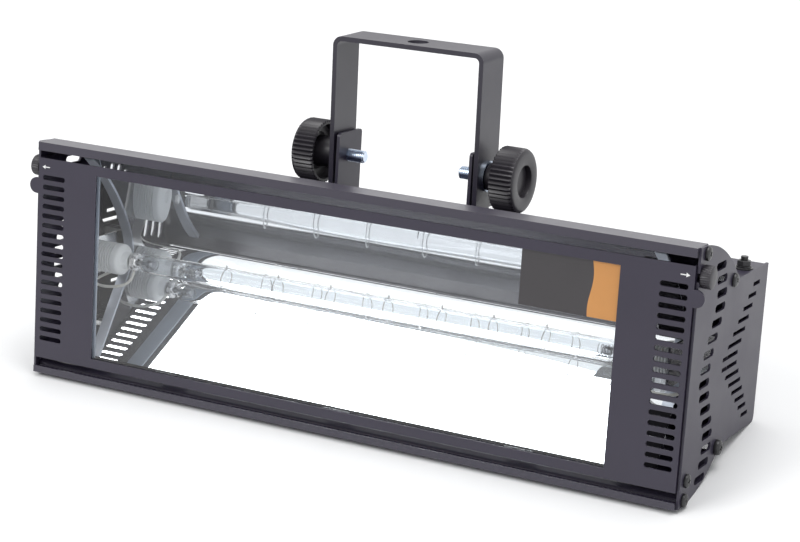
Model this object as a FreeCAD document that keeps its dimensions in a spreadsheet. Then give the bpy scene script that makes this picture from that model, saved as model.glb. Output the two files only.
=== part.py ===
import FreeCAD, Part
import Sketcher
import math
import os

# Xenon stroboscope: a D-shaped lamp housing with a flat electronics box behind it,
# a hinged window door, a trough reflector with a linear flash tube, and a U-shaped yoke.
# Every piece is drawn in the head's own axes: X to the right, Y to the back, Z up along the
# window, with the origin in the middle of the housing's lower front edge. STAND then leans the
# whole lamp back until it rests on its lower curve and its lower rear edge.
# Lengths are in millimetres and angles in degrees.

DIMENSIONS = {
    # housing
    "width": 440.0, "plate_sheet": 1.5, "face_height": 149.0, "plate_front": 2.6,
    "arc_radius": 88.0, "arc_start": 5.0, "box_depth": 122.5, "box_top": 120.0,
    "box_bottom": 22.5, "box_corner": 4.0, "top_fold": 1.5, "cover_sheet": 1.0,
    "cover_inset": 0.4, "panel_gap": 0.3,
    # rails
    "rail_web": 2.0, "rail_lip": 1.4, "top_rail_depth": 16.5, "bottom_rail_depth": 13.0,
    "top_lip_height": 5.3, "bottom_lip_height": 4.2, "inner_lip_place": 5.2,
    "inner_lip_height": 3.6, "boss_half": 2.7, "boss_bevel": 1.8, "top_boss_back": 12.0,
    "top_boss_height": 7.4, "bottom_boss_back": 9.5, "bottom_boss_height": 6.7,
    # side vents
    "front_vents": 16, "front_vent_pitch": 8.2, "front_vent_length": 16.0,
    "front_vent_height": 4.6, "front_vent_mean": 34.0, "front_vent_swing": 7.6,
    "front_vent_half_wave": 43.0, "front_vent_slant": 0.035, "rear_vents": 14,
    "rear_vent_pitch": 6.1, "rear_vent_length": 26.5, "rear_vent_height": 2.5,
    "rear_vent_apex": 65.0, "rear_vent_slope": 0.97, "rear_vent_shrink": 0.38,
    "vent_middle": 71.6,
    # door
    "door_sheet": 1.2, "door_front": 0.6, "door_bottom": 9.9, "door_top": 139.0,
    "door_half": 218.1, "door_flange_depth": 17.5, "window_half": 174.8,
    "window_bottom": 15.7, "window_top": 132.7, "slot_rows": 18, "slot_pitch": 6.11,
    "slot_height": 3.1, "slot_outer_end": 214.9, "slot_length": 16.6, "slot_lowest": 22.9,
    "ear_radius": 5.0, "ear_up": 121.0, "ear_reach": 224.8,
    "hinge_back": 11.0, "hinge_up": 15.0, "latch_back": 8.8, "latch_up": 132.3,
    "latch_slot": 2.5, "glass_thickness": 3.0, "glass_overlap": 3.6, "glass_gap": 0.2,
    "clip_spacing": 120.0, "clip_length": 18.0, "clip_sheet": 0.8, "clip_grip": 3.0,
    "clip_gap": 0.1,
    # reflector
    "reflector_half": 195.0, "reflector_sheet": 0.8, "apex_back": 63.7, "apex_up": 73.2,
    "apex_radius": 27.3, "lower_wing_angle": 31.4, "lower_wing": 59.0,
    "upper_wing_radius": 147.0, "upper_wing_from": 24.9, "upper_wing_to": 53.0,
    "rib_width": 7.0, "rib_sheet": 0.8, "spacer_place": 110.0, "spacer_length": 20.0,
    "spacer_half_height": 6.0,
    # lamp
    "lamp_back": 38.0, "lamp_up": 73.0, "tube_half": 166.0, "tube_radius": 6.0,
    "tube_wall": 1.2, "terminal_radius": 5.0, "electrode_length": 16.0,
    "electrode_radius": 2.4, "trigger_loops": 4, "trigger_pitch": 95.0,
    "trigger_wire_width": 0.8, "insulator_radius": 10.0, "insulator_root": 8.4,
    "insulator_outer_end": 198.0, "insulator_inner_end": 172.0, "rib_pitch": 3.2,
    "insulator_ribs": 4, "bracket_sheet": 1.5, "bracket_height": 24.0,
    "bracket_front": 25.0, "bracket_foot": 14.0, "lead_width": 1.2, "lead_inset": 3.0,
    "lead_drop": 6.0, "lead_place": 203.0, "lead_hole": 5.0,
    # yoke and its clamps
    "pivot_back": 86.3, "pivot_up": 153.0, "yoke_half": 51.1, "yoke_sheet": 3.0,
    "yoke_width": 28.0, "yoke_rise": 76.0, "yoke_drop": 20.0, "yoke_bend": 6.0,
    "yoke_hole": 13.0, "yoke_lean": 2.0, "tab_sheet": 2.0, "tab_outer": 46.5,
    "tab_width": 28.5, "tab_front": 73.0, "tab_top": 15.0, "tab_corner": 4.0,
    "tab_foot": 24.0, "stud_radius": 4.0, "stud_end": 33.0, "stud_head": 7.5,
    "stud_head_length": 5.5, "running_gap": 0.08, "knob_radius": 20.0, "knob_rib": 1.1,
    "knob_ribs": 16, "knob_start": 52.6, "knob_rim_start": 60.5, "knob_rim_end": 73.5,
    "knob_face": 76.0, "knob_chamfer": 2.6, "knob_recess": 8.2, "knob_recess_depth": 6.0,
    "knob_hub": 10.0, "knob_wall": 3.4, "knob_web": 9.0,
    # screws that turn
    "thumb_radius": 6.7, "thumb_rib": 0.7, "thumb_ribs": 12, "thumb_length": 6.0,
    "thumb_shank": 2.0, "thumb_gap": 0.1, "hinge_shank": 1.5, "hinge_head": 4.0,
    "hinge_head_height": 2.2,
    # tie bars
    "tie_radius": 3.0, "upper_tie_back": 62.0, "upper_tie_up": 120.6,
    "lower_tie_back": 57.5, "lower_tie_up": 22.8,
    # electronics
    "partition_back": 67.0, "partition_sheet": 1.2, "partition_margin": 6.0,
    "board_back": 74.0, "board_sheet": 1.6, "board_left": -205.0, "board_right": 150.0,
    "board_low": 32.0, "board_high": 112.0, "standoff": 5.0, "standoff_margin": 8.0,
    "capacitors": 2, "capacitor_radius": 17.5, "capacitor_length": 58.0,
    "capacitor_pitch": 45.0, "capacitor_first": -180.0, "capacitor_back": 100.4,
    "strap_up": 36.0, "strap_height": 10.0, "strap_sheet": 1.2,
    "choke_place": 40.0, "choke_length": 56.0, "choke_front": 84.0, "choke_depth": 32.0,
    "choke_height": 22.0, "winding_margin": 10.0, "winding_proud": 4.0,
    "coil_place": 145.0, "coil_length": 44.0, "coil_front": 88.0, "coil_depth": 16.0,
    "coil_height": 16.0, "coil_tower": 8.0,
    # rear controls
    "control_up": 62.0, "inlet_place": 165.0, "fuse_place": 120.0, "jack_place": 80.0,
    "rate_place": 25.0, "level_place": -25.0, "inlet_half": 13.8, "inlet_height": 10.3,
    "inlet_depth": 22.0, "inlet_flange_half": 24.0, "inlet_flange_height": 13.0,
    "inlet_flange_sheet": 2.4, "inlet_wall": 2.3, "inlet_well": 14.0, "pin_half": 1.0,
    "pin_height": 2.6, "pin_length": 12.0, "pin_spacing": 6.5, "pin_offset": 2.0,
    "fuse_body": 12.0, "fuse_depth": 26.0, "fuse_neck": 6.0, "fuse_flange": 9.0,
    "fuse_flange_sheet": 3.0, "fuse_bore": 4.2, "fuse_plug": 20.0, "fuse_cap_radius": 6.8,
    "fuse_cap_length": 6.0, "fuse_cap_gap": 0.2, "coin_slot": 1.4, "coin_slot_depth": 1.5,
    "jack_body": 14.0, "jack_depth": 24.0, "jack_neck": 5.5, "jack_nut": 8.0,
    "jack_nut_sheet": 2.2, "jack_bore": 3.2, "jack_bore_depth": 22.8,
    "pot_body": 17.0, "pot_depth": 9.0, "pot_neck": 3.6, "pot_nut": 6.2,
    "pot_nut_sheet": 2.0, "shaft_radius": 2.5, "shaft_depth": 9.0,
    "dial_radius": 9.0, "dial_rib": 0.9, "dial_ribs": 12, "dial_start": 4.4,
    "dial_length": 11.6, "pointer_width": 1.2, "pointer_depth": 0.8,
}

doc = FreeCAD.newDocument("stroboscope")
sheet = doc.addObject("Spreadsheet::Sheet", "Dimensions")
for row, (word, number) in enumerate(DIMENSIONS.items(), start=1):
    sheet.set(f"A{row}", word)
    sheet.set(f"B{row}", str(number))
    sheet.setAlias(f"B{row}", word)
doc.recompute()


class Size:
    """A number together with the expression on the sheet that gives it."""

    def __init__(self, value, text):
        self.value = float(value)
        self.text = text

    def joined(self, other, sign, value):
        return Size(value, f"({self.text} {sign} {other.text})")

    def __add__(self, other):
        other = size(other)
        return self.joined(other, "+", self.value + other.value)

    def __sub__(self, other):
        other = size(other)
        return self.joined(other, "-", self.value - other.value)

    def __mul__(self, other):
        other = size(other)
        return self.joined(other, "*", self.value * other.value)

    def __truediv__(self, other):
        other = size(other)
        return self.joined(other, "/", self.value / other.value)

    def __radd__(self, other):
        return size(other) + self

    def __rsub__(self, other):
        return size(other) - self

    def __rmul__(self, other):
        return size(other) * self

    def __neg__(self):
        return size(0) - self


def size(number):
    return number if isinstance(number, Size) else Size(number, f"({number})")


def root(number):
    return Size(math.sqrt(number.value), f"sqrt({number.text})")


def sine(angle):
    return Size(math.sin(math.radians(angle.value)), f"sin({angle.text})")


def cosine(angle):
    return Size(math.cos(math.radians(angle.value)), f"cos({angle.text})")


def narrowing(inward, length):
    """The taper that draws a pad's outline in by inward over its length."""
    slope = inward / length
    return Size(-math.degrees(math.atan(slope.value)), f"(-atan({slope.text}))")


class Sheet:
    """The sheet's cells as attributes: d.width is the cell named width."""

    def __getattr__(self, word):
        return Size(DIMENSIONS[word], f"Dimensions.{word}")


d = Sheet()
HALF_TURN = FreeCAD.Rotation(FreeCAD.Vector(0, 0, 1), 180)
FACING = {-1: HALF_TURN, 1: FreeCAD.Rotation()}
WAY = {"X": FreeCAD.Rotation(FreeCAD.Vector(0, 1, 0), 90),
       "Y": FreeCAD.Rotation(FreeCAD.Vector(1, 0, 0), -90),
       "Z": FreeCAD.Rotation()}
SIDES = (("left", -1), ("right", 1))
nodes = []


def count(word):
    return int(DIMENSIONS[word])


def bind(thing, attribute, number):
    thing.setExpression(attribute, size(number).text)


def node(label, thing, place=FreeCAD.Vector()):
    """Takes a finished object as the sub-part called label, drawn about place."""
    if thing.TypeId in ("Part::Box", "Part::Cylinder", "Part::Prism"):
        thing = group(thing)
    thing.Label = label
    nodes.append((label, thing, place))
    return thing


def box(low, high):
    """A block from its lowest corner to its highest."""
    block = doc.addObject("Part::Box", "Block")
    for attribute, number in zip(("Length", "Width", "Height"), range(3)):
        bind(block, attribute, size(high[number]) - low[number])
    for letter, number in zip("xyz", low):
        bind(block, f"Placement.Base.{letter}", number)
    return block


def rod(way, start, radius, length):
    """A round bar from start along +way."""
    bar = doc.addObject("Part::Cylinder", "Bar")
    bar.Placement = FreeCAD.Placement(FreeCAD.Vector(), WAY[way])
    bind(bar, "Radius", radius)
    bind(bar, "Height", length)
    for letter, number in zip("xyz", start):
        bind(bar, f"Placement.Base.{letter}", number)
    return bar


def prism(way, start, radius, length, sides=6):
    """A bar with flat sides from start along +way, radius being that of its corners."""
    bar = doc.addObject("Part::Prism", "Prism")
    bar.Placement = FreeCAD.Placement(FreeCAD.Vector(), WAY[way])
    bar.Polygon = sides
    bind(bar, "Circumradius", radius)
    bind(bar, "Height", length)
    for letter, number in zip("xyz", start):
        bind(bar, f"Placement.Base.{letter}", number)
    return bar


def fuse(*things):
    joined = doc.addObject("Part::MultiFuse", "Joined")
    joined.Shapes = list(things)
    return joined


def group(*things):
    """Separate solids that share one node."""
    together = doc.addObject("Part::Compound", "Group")
    together.Links = list(things)
    return together


def cut(base, *tools):
    rest = doc.addObject("Part::Cut", "Cut")
    rest.Base = base
    rest.Tool = tools[0] if len(tools) == 1 else group(*tools)
    return rest


def body():
    return doc.addObject("PartDesign::Body", "Body")


def arc_centre(start, end, radius):
    """Centre of the short arc from start to end: radius above 0 turns left, below 0 right."""
    chord = (end[0] - start[0], end[1] - start[1])
    half = math.hypot(*chord) / 2
    reach = math.sqrt(max(radius * radius - half * half, 0.0)) * math.copysign(1, radius)
    normal = (-chord[1] / (2 * half), chord[0] / (2 * half))
    return ((start[0] + end[0]) / 2 + normal[0] * reach,
            (start[1] + end[1]) / 2 + normal[1] * reach)


def draw(owner, role, loops, offset=0):
    """A sketch on one of the body's own planes, every corner bound to the sheet. A loop is a
    list of corners (u, v), or (u, v, radius) where an arc leads on to the next corner, or
    (u, v, "cap") where a half circle does; a whole circle is one tuple (u, v, radius)."""
    sketch = owner.newObject("Sketcher::SketchObject", "Outline")
    plane = next(f for f in owner.Origin.OriginFeatures if f.Role == role)
    sketch.AttachmentSupport = [(plane, "")]
    sketch.MapMode = "FlatFace"
    bind(sketch, "AttachmentOffset.Base.z", offset)
    geometry, rules, bound = [], [], []

    def fix(kind, index, point, number):
        number = size(number)
        bound.append((len(rules), number.text))
        if kind == "Radius":
            rules.append(Sketcher.Constraint(kind, index, number.value))
        else:
            rules.append(Sketcher.Constraint(kind, -1, 1, index, point, number.value))

    for loop in loops:
        if isinstance(loop, tuple):
            u, v, radius = (size(number) for number in loop)
            centre = FreeCAD.Vector(u.value, v.value, 0)
            geometry.append(Part.Circle(centre, FreeCAD.Vector(0, 0, 1), radius.value))
            fix("DistanceX", len(geometry) - 1, 3, u)
            fix("DistanceY", len(geometry) - 1, 3, v)
            fix("Radius", len(geometry) - 1, 3, radius)
            continue
        first, ends = len(geometry), []
        for number, corner in enumerate(loop):
            following = loop[(number + 1) % len(loop)]
            start = tuple(size(value).value for value in corner[:2])
            end = tuple(size(value).value for value in following[:2])
            index = len(geometry)
            if len(corner) == 2:
                geometry.append(Part.LineSegment(FreeCAD.Vector(*start, 0),
                                                 FreeCAD.Vector(*end, 0)))
                ends.append((1, 2))
            else:
                half = math.dist(start, end) / 2
                bend = size(half if corner[2] == "cap" else corner[2])
                middle = arc_centre(start, end, bend.value)
                circle = Part.Circle(FreeCAD.Vector(*middle, 0), FreeCAD.Vector(0, 0, 1),
                                     abs(bend.value))
                angles = [math.atan2(p[1] - middle[1], p[0] - middle[0]) for p in (start, end)]
                turned = bend.value < 0
                if turned:
                    angles.reverse()
                geometry.append(Part.ArcOfCircle(circle, *angles))
                ends.append((2, 1) if turned else (1, 2))
                if corner[2] != "cap":
                    fix("Radius", index, 3, bend if not turned else -bend)
                elif abs(start[0] - end[0]) < abs(start[1] - end[1]):
                    fix("DistanceX", index, 3, corner[0])
                else:
                    fix("DistanceY", index, 3, corner[1])
            fix("DistanceX", index, ends[-1][0], corner[0])
            fix("DistanceY", index, ends[-1][0], corner[1])
        for number, (_, leaving) in enumerate(ends):
            following = (number + 1) % len(ends)
            rules.append(Sketcher.Constraint("Coincident", first + number, leaving,
                                             first + following, ends[following][0]))
    sketch.addGeometry(geometry, False)
    sketch.addConstraint(rules)
    for index, text in bound:
        sketch.setExpression(f"Constraints[{index}]", text)
    return sketch


def pad(owner, role, loops, offset, length, taper=0):
    feature = owner.newObject("PartDesign::Pad", "Pad")
    feature.Profile = draw(owner, role, loops, offset)
    bind(feature, "Length", length)
    bind(feature, "TaperAngle", taper)
    return feature


def pierce(owner, role, loops, offset=0, depth=None):
    """A pocket right through, or depth deep against its sketch's normal."""
    feature = owner.newObject("PartDesign::Pocket", "Pocket")
    feature.Profile = draw(owner, role, loops, offset)
    if depth is None:
        feature.Type = "ThroughAll"
        feature.Midplane = True
    else:
        bind(feature, "Length", depth)
    return feature


def repeat_along(owner, feature, sketch, length, number):
    pattern = owner.newObject("PartDesign::LinearPattern", "Row")
    pattern.Originals = [feature]
    pattern.Direction = (sketch, ["V_Axis"])
    bind(pattern, "Length", length)
    pattern.Occurrences = number
    owner.Tip = pattern
    return pattern


def rectangle(left, bottom, right, top):
    return [(left, bottom), (right, bottom), (right, top), (left, top)]


OCTAGON_CORNER = 1 - math.sqrt(0.5)


def slot(left, right, middle, height):
    """A level slot with clipped corners, which is an octagon where it is as long as high."""
    half, clip = height / 2, height * OCTAGON_CORNER
    low, high = middle - half, middle + half
    return [(left + clip, low), (right - clip, low), (right, low + clip),
            (right, high - clip), (right - clip, high), (left + clip, high),
            (left, high - clip), (left, low + clip)]


def octagon(u, v, reach):
    return slot(u - reach, u + reach, v, 2 * reach)


def star(ribs, ridge, valley, u=0, v=0):
    """A ribbed grip's outline about (u, v)."""
    corners = []
    for number in range(2 * ribs):
        angle = math.pi * number / ribs
        reach = valley if number % 2 else ridge
        corners.append((u + reach * math.cos(angle), v + reach * math.sin(angle)))
    return corners


def polygon(sides, reach):
    """A regular outline with an even number of sides, reach being that of its corners."""
    return star(sides // 2, reach, reach)


# Shared places

inner_half = d.width / 2 - d.plate_sheet
top_centre = d.face_height - d.arc_radius
cover_back = d.box_depth - d.cover_inset
cover_inside = cover_back - d.cover_sheet
floor = d.box_bottom + d.cover_inset + d.cover_sheet
partition_rear = d.partition_back + d.partition_sheet
lead_level = d.lamp_up - d.insulator_radius - d.lead_drop


def arc_top(back, radius):
    """Height of the upper curve of the given radius, at a distance back from the front."""
    return top_centre + root(radius * radius - (back - d.arc_start) * (back - d.arc_start))


def arc_bottom(back, radius):
    return d.arc_radius - root(radius * radius - (back - d.arc_start) * (back - d.arc_start))


def arc_back(drop, radius):
    """How far back the curve has come when it is drop below or above its flat start."""
    rest = d.arc_radius - drop
    return d.arc_start + root(radius * radius - rest * rest)


# End plates: one flat sheet each, D-shaped in front and square behind, with two vent columns

def vent_loops():
    loops = []
    for number in range(count("front_vents")):
        steps = number - (count("front_vents") - 1) / 2
        rise = steps * d.front_vent_pitch
        swing = d.front_vent_swing * cosine(180 * rise / d.front_vent_half_wave)
        middle = d.front_vent_mean - swing + rise * d.front_vent_slant
        half = d.front_vent_length / 2
        loops.append(slot(middle - half, middle + half, d.vent_middle + rise,
                          d.front_vent_height))
    for number in range(count("rear_vents")):
        steps = number - (count("rear_vents") - 1) / 2
        away = abs(steps) * d.rear_vent_pitch
        middle = d.rear_vent_apex + away * d.rear_vent_slope
        half = (d.rear_vent_length - away * d.rear_vent_shrink) / 2
        up, rise = d.vent_middle + steps * d.rear_vent_pitch, d.rear_vent_height / 2
        loops.append(rectangle(middle - half, up - rise, middle + half, up + rise))
    return loops


VENTS_PER_SKETCH = 4


def end_plate(side, sign):
    plate = body()
    start = d.width / 2 - d.plate_sheet if sign > 0 else -(d.width / 2)
    outline = [
        (d.plate_front, 0), (d.arc_start, 0, d.arc_radius),
        (arc_back(d.box_bottom, d.arc_radius), d.box_bottom),
        (d.box_depth - d.box_corner, d.box_bottom, d.box_corner),
        (d.box_depth, d.box_bottom + d.box_corner), (d.box_depth, d.box_top),
        (arc_back(d.face_height - d.box_top, d.arc_radius), d.box_top, d.arc_radius),
        (d.arc_start, d.face_height), (d.plate_front, d.face_height)]
    hinge_hole = (d.hinge_back, d.hinge_up, d.hinge_shank + d.running_gap)
    pad(plate, "YZ_Plane", [outline, hinge_hole], start, d.plate_sheet)
    vents = vent_loops()
    for first in range(0, len(vents), VENTS_PER_SKETCH):
        pierce(plate, "YZ_Plane", vents[first:first + VENTS_PER_SKETCH])
    latch_low, latch_high = d.latch_up - d.latch_slot, d.latch_up + d.latch_slot
    pierce(plate, "YZ_Plane", [[
        (0, latch_low), (d.latch_back, latch_low, "cap"), (d.latch_back, latch_high),
        (0, latch_high)]])
    node(f"end_plate_{side}", plate)


for side, sign in SIDES:
    end_plate(side, sign)


# Rails: one lipped channel section along the top and one along the bottom

def rail(label, face, inward, depth, lip_height, boss_back, boss_height):
    """A section whose web lies at face and whose lips and screw boss point inward
    (+1 up, -1 down)."""
    def level(number):
        return face + inward * number

    section = body()
    lip_two, half, bevel = d.inner_lip_place, d.boss_half, d.boss_bevel
    outline = [(0, level(0)), (depth, level(0)), (depth, level(d.rail_web)),
               (boss_back + half, level(d.rail_web)),
               (boss_back + half, level(boss_height - bevel)),
               (boss_back + half - bevel, level(boss_height)),
               (boss_back - half + bevel, level(boss_height)),
               (boss_back - half, level(boss_height - bevel)),
               (boss_back - half, level(d.rail_web)),
               (lip_two + d.rail_lip, level(d.rail_web)),
               (lip_two + d.rail_lip, level(d.inner_lip_height)),
               (lip_two, level(d.inner_lip_height)), (lip_two, level(d.rail_web)),
               (d.rail_lip, level(d.rail_web)), (d.rail_lip, level(lip_height)),
               (0, level(lip_height))]
    if inward < 0:
        outline.reverse()
    pad(section, "YZ_Plane", [outline], -inner_half, 2 * inner_half)
    node(label, section)


rail("top_rail", d.face_height, -1, d.top_rail_depth, d.top_lip_height, d.top_boss_back,
     d.top_boss_height)
rail("bottom_rail", size(0), 1, d.bottom_rail_depth, d.bottom_lip_height,
     d.bottom_boss_back, d.bottom_boss_height)


# Curved covers over and under the reflector

def curved_cover(label, curve, front, drop):
    outer = d.arc_radius - d.cover_inset
    inner = outer - d.cover_sheet
    back = arc_back(drop, inner) - d.panel_gap
    over = curve is arc_top
    bend = outer if over else -outer
    outline = [(back, curve(back, outer), bend), (front, curve(front, outer)),
               (front, curve(front, inner), -(bend / outer) * inner),
               (back, curve(back, inner))]
    cover = body()
    pad(cover, "YZ_Plane", [outline], -inner_half, 2 * inner_half)
    node(label, cover)


curved_cover("top_cover", arc_top, d.top_rail_depth + d.panel_gap,
             d.face_height - d.box_top + d.cover_sheet)
curved_cover("bottom_cover", arc_bottom, d.bottom_rail_depth + d.panel_gap,
             d.box_bottom + d.cover_sheet)

# Hexagonal tie bars between the end plates, where the curve meets the box
for label, back, up in (("upper_tie_bar", d.upper_tie_back, d.upper_tie_up),
                        ("lower_tie_bar", d.lower_tie_back, d.lower_tie_up)):
    node(label, prism("X", (-inner_half, back, up), d.tie_radius, 2 * inner_half))


# Rear cover: one sheet folded over the top, back and bottom of the electronics box

def rear_cover():
    thick, bend, fold = d.cover_sheet, d.box_corner, d.top_fold
    back, top, bottom = cover_back, d.box_top - d.cover_inset, d.box_bottom + d.cover_inset
    front_top = arc_back(d.face_height - d.box_top, d.arc_radius) + d.panel_gap
    front_low = arc_back(d.box_bottom, d.arc_radius) + d.panel_gap
    outline = [
        (front_low, bottom), (back - bend, bottom, bend), (back, bottom + bend),
        (back, top - fold, fold), (back - fold, top), (front_top, top),
        (front_top, top - thick), (back - fold, top - thick, thick - fold),
        (back - thick, top - fold), (back - thick, bottom + bend, thick - bend),
        (back - bend, bottom + thick), (front_low, bottom + thick)]
    cover = body()
    pad(cover, "YZ_Plane", [outline], -inner_half, 2 * inner_half)
    up, gap = d.control_up, d.running_gap
    inlet_half, inlet_height = d.inlet_half + gap, d.inlet_height + gap
    windows = [
        rectangle(d.inlet_place - inlet_half, up - inlet_height,
                  d.inlet_place + inlet_half, up + inlet_height),
        octagon(d.fuse_place, up, d.fuse_neck + gap),
        octagon(d.jack_place, up, d.jack_neck + gap),
        octagon(d.rate_place, up, d.pot_neck + gap),
        octagon(d.level_place, up, d.pot_neck + gap)]
    pierce(cover, "XZ_Plane", windows, -(cover_inside - thick), 3 * thick)
    node("rear_cover", cover)


rear_cover()


def partition():
    """The wall between lamp and electronics, with a hole at each end for a lead."""
    wall = body()
    margin, hole = d.partition_margin, d.lead_hole / 2
    low, high = d.box_bottom + margin, d.box_top - margin
    holes = [rectangle(place - hole, lead_level - hole, place + hole, lead_level + hole)
             for place in (-d.lead_place, d.lead_place)]
    pad(wall, "XZ_Plane", [rectangle(-inner_half, low, inner_half, high), *holes],
        -partition_rear, d.partition_sheet)
    node("partition", wall)


partition()


# Door: a flat sheet with the window and two rows of vents, ears to pull it open by, and a
# flange down each end that turns on the hinge screws

def door_panel():
    half, low, high = d.door_half, d.door_bottom, d.door_top
    back = d.door_front + d.door_sheet
    ear, reach = d.ear_radius, d.ear_reach - d.ear_radius
    outline = [
        (-half, low), (half, low), (half, d.ear_up - ear), (reach, d.ear_up - ear, "cap"),
        (reach, d.ear_up + ear), (half, d.ear_up + ear), (half, high), (-half, high),
        (-half, d.ear_up + ear), (-reach, d.ear_up + ear, "cap"), (-reach, d.ear_up - ear),
        (-half, d.ear_up - ear)]
    window = rectangle(-d.window_half, d.window_bottom, d.window_half, d.window_top)
    panel = body()
    pad(panel, "XZ_Plane", [outline, window], -back, d.door_sheet)
    for _, sign in SIDES:
        flange = rectangle(back, low, d.door_flange_depth, high)
        shank_hole = octagon(d.latch_back, d.latch_up, d.thumb_shank + d.running_gap)
        pivot_hole = (d.hinge_back, d.hinge_up, d.hinge_shank + d.running_gap)
        start = half - d.door_sheet if sign > 0 else -half
        pad(panel, "YZ_Plane", [flange, shank_hole, pivot_hole], start, d.door_sheet)
    inner_end = d.slot_outer_end - d.slot_length
    lowest = [slot(inner_end, d.slot_outer_end, d.slot_lowest, d.slot_height),
              slot(-d.slot_outer_end, -inner_end, d.slot_lowest, d.slot_height)]
    first = pierce(panel, "XZ_Plane", lowest)
    repeat_along(panel, first, first.Profile[0], d.slot_pitch * (count("slot_rows") - 1),
                 count("slot_rows"))
    node("door_panel", panel)


door_panel()

glass_front = d.door_front + d.door_sheet + d.glass_gap
glass_back = glass_front + d.glass_thickness
glass_low = d.window_bottom - d.glass_overlap
glass_high = d.window_top + d.glass_overlap
glass_half = d.window_half + d.glass_overlap
node("window_glass", box((-glass_half, glass_front, glass_low),
                         (glass_half, glass_back, glass_high)))


def glass_clip(place, edge, outward):
    """A folded tab that holds the glass against the door at its upper or lower edge."""
    def span(near, far):
        return (near, far) if outward > 0 else (far, near)

    half, thick = d.clip_length / 2, d.clip_sheet
    near, far = edge + outward * d.clip_gap, edge + outward * (d.clip_gap + thick)
    foot, lip = span(near, far), span(edge - outward * d.clip_grip, far)
    door_back = d.door_front + d.door_sheet
    return fuse(box((place - half, door_back, foot[0]), (place + half, glass_back, foot[1])),
                box((place - half, glass_back, lip[0]),
                    (place + half, glass_back + thick, lip[1])))


node("glass_clips", group(*[glass_clip(step * d.clip_spacing, edge, outward)
                            for step in (-1, 0, 1)
                            for edge, outward in ((glass_low, -1), (glass_high, 1))]))


# Reflector: one rolled sheet, flat below its apex and gently curved above, stiffened by a
# rib at each end

def trough(proud, thickness, start, length):
    """A length of the trough's section, its inner face lying proud of the reflecting face."""
    low, bend, top = d.lower_wing_angle, d.upper_wing_from, d.upper_wing_to
    centre = d.apex_back - d.apex_radius
    widening = d.upper_wing_radius - d.apex_radius

    def corners(out):
        apex, upper = d.apex_radius + out, d.upper_wing_radius + out
        foot = (centre + apex * cosine(low), d.apex_up - apex * sine(low))
        back, middle = centre - widening * cosine(bend), d.apex_up - widening * sine(bend)
        return ((foot[0] - d.lower_wing * sine(low), foot[1] - d.lower_wing * cosine(low)),
                foot, (back + upper * cosine(bend), middle + upper * sine(bend)),
                (back + upper * cosine(top), middle + upper * sine(top)))

    outer, inner = corners(thickness - proud), corners(-proud)
    apex, upper = d.apex_radius, d.upper_wing_radius
    loop = [outer[0], (*outer[1], apex + thickness - proud),
            (*outer[2], upper + thickness - proud), outer[3], (*inner[3], proud - upper),
            (*inner[2], proud - apex), inner[1], inner[0]]
    part = body()
    pad(part, "YZ_Plane", [loop], start, length)
    return part


node("reflector", trough(size(0), d.reflector_sheet, -d.reflector_half,
                         2 * d.reflector_half))
for side, sign in SIDES:
    start = d.reflector_half - d.rib_width if sign > 0 else -d.reflector_half
    node(f"reflector_rib_{side}", trough(d.rib_sheet, d.rib_sheet, start, d.rib_width))

# Spacers between the partition and the back of the reflector
spacer_front = d.apex_back + d.reflector_sheet
node("reflector_spacers", group(*[
    box((sign * d.spacer_place - d.spacer_length / 2, spacer_front,
         d.apex_up - d.spacer_half_height),
        (sign * d.spacer_place + d.spacer_length / 2, d.partition_back,
         d.apex_up + d.spacer_half_height))
    for _, sign in SIDES]))


# Flash tube: quartz wall, electrodes, end terminals and the trigger wire

LOOP_SIDES = 8


def on_lamp(start, radius, length):
    return rod("X", (start, d.lamp_back, d.lamp_up), radius, length)


def flat_on_lamp(start, radius, length):
    return prism("X", (start, d.lamp_back, d.lamp_up), radius, length, LOOP_SIDES)


node("flash_tube", cut(on_lamp(-d.tube_half, d.tube_radius, 2 * d.tube_half),
                       on_lamp(-d.tube_half, d.tube_radius - d.tube_wall,
                               2 * d.tube_half)))
node("electrodes", group(*[
    flat_on_lamp(start, d.electrode_radius, d.electrode_length)
    for start in (-d.tube_half, d.tube_half - d.electrode_length)]))
node("lamp_terminals", group(*[
    flat_on_lamp(start, d.terminal_radius, d.insulator_inner_end - d.tube_half)
    for start in (-d.insulator_inner_end, d.tube_half)]))


def trigger_wire():
    """Flat-sided loops round the tube, joined by one straight wire along its top."""
    width, steps = d.trigger_wire_width, count("trigger_loops") - 1
    inner = (d.tube_radius + d.panel_gap) / math.cos(math.pi / LOOP_SIDES)
    outer = inner + width
    reach = d.trigger_pitch * steps / 2
    along = box((-reach, d.lamp_back - width / 2, d.lamp_up + inner),
                (reach, d.lamp_back + width / 2, d.lamp_up + outer))
    loops = []
    for number in range(steps + 1):
        start = number * d.trigger_pitch - reach - width / 2
        loops.append(cut(flat_on_lamp(start, outer, width),
                         flat_on_lamp(start, inner, width)))
    node("trigger_wire", fuse(along, *loops))


trigger_wire()

# Insulators, their brackets and the wires from them

INSULATOR_SIDES = 12


def insulator(sign):
    """A ceramic body, its V-shaped ribs towards the end plate and its plain end inside."""
    ceramic = body()
    outline = polygon(INSULATOR_SIDES, d.insulator_radius)
    inward = (d.insulator_radius - d.insulator_root) * math.cos(math.pi / INSULATOR_SIDES)
    ribs = count("insulator_ribs")
    shoulder = d.insulator_outer_end - ribs * d.rib_pitch
    pad(ceramic, "YZ_Plane", [outline], d.insulator_inner_end,
        shoulder - d.insulator_inner_end)
    for number in range(ribs):
        rib = pad(ceramic, "YZ_Plane", [outline], shoulder + (number + 0.5) * d.rib_pitch,
                  d.rib_pitch, narrowing(inward, d.rib_pitch / 2))
        rib.Midplane = True
    ceramic.Placement.Rotation = FACING[sign]
    bind(ceramic, "Placement.Base.y", d.lamp_back)
    bind(ceramic, "Placement.Base.z", d.lamp_up)
    return ceramic


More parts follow.
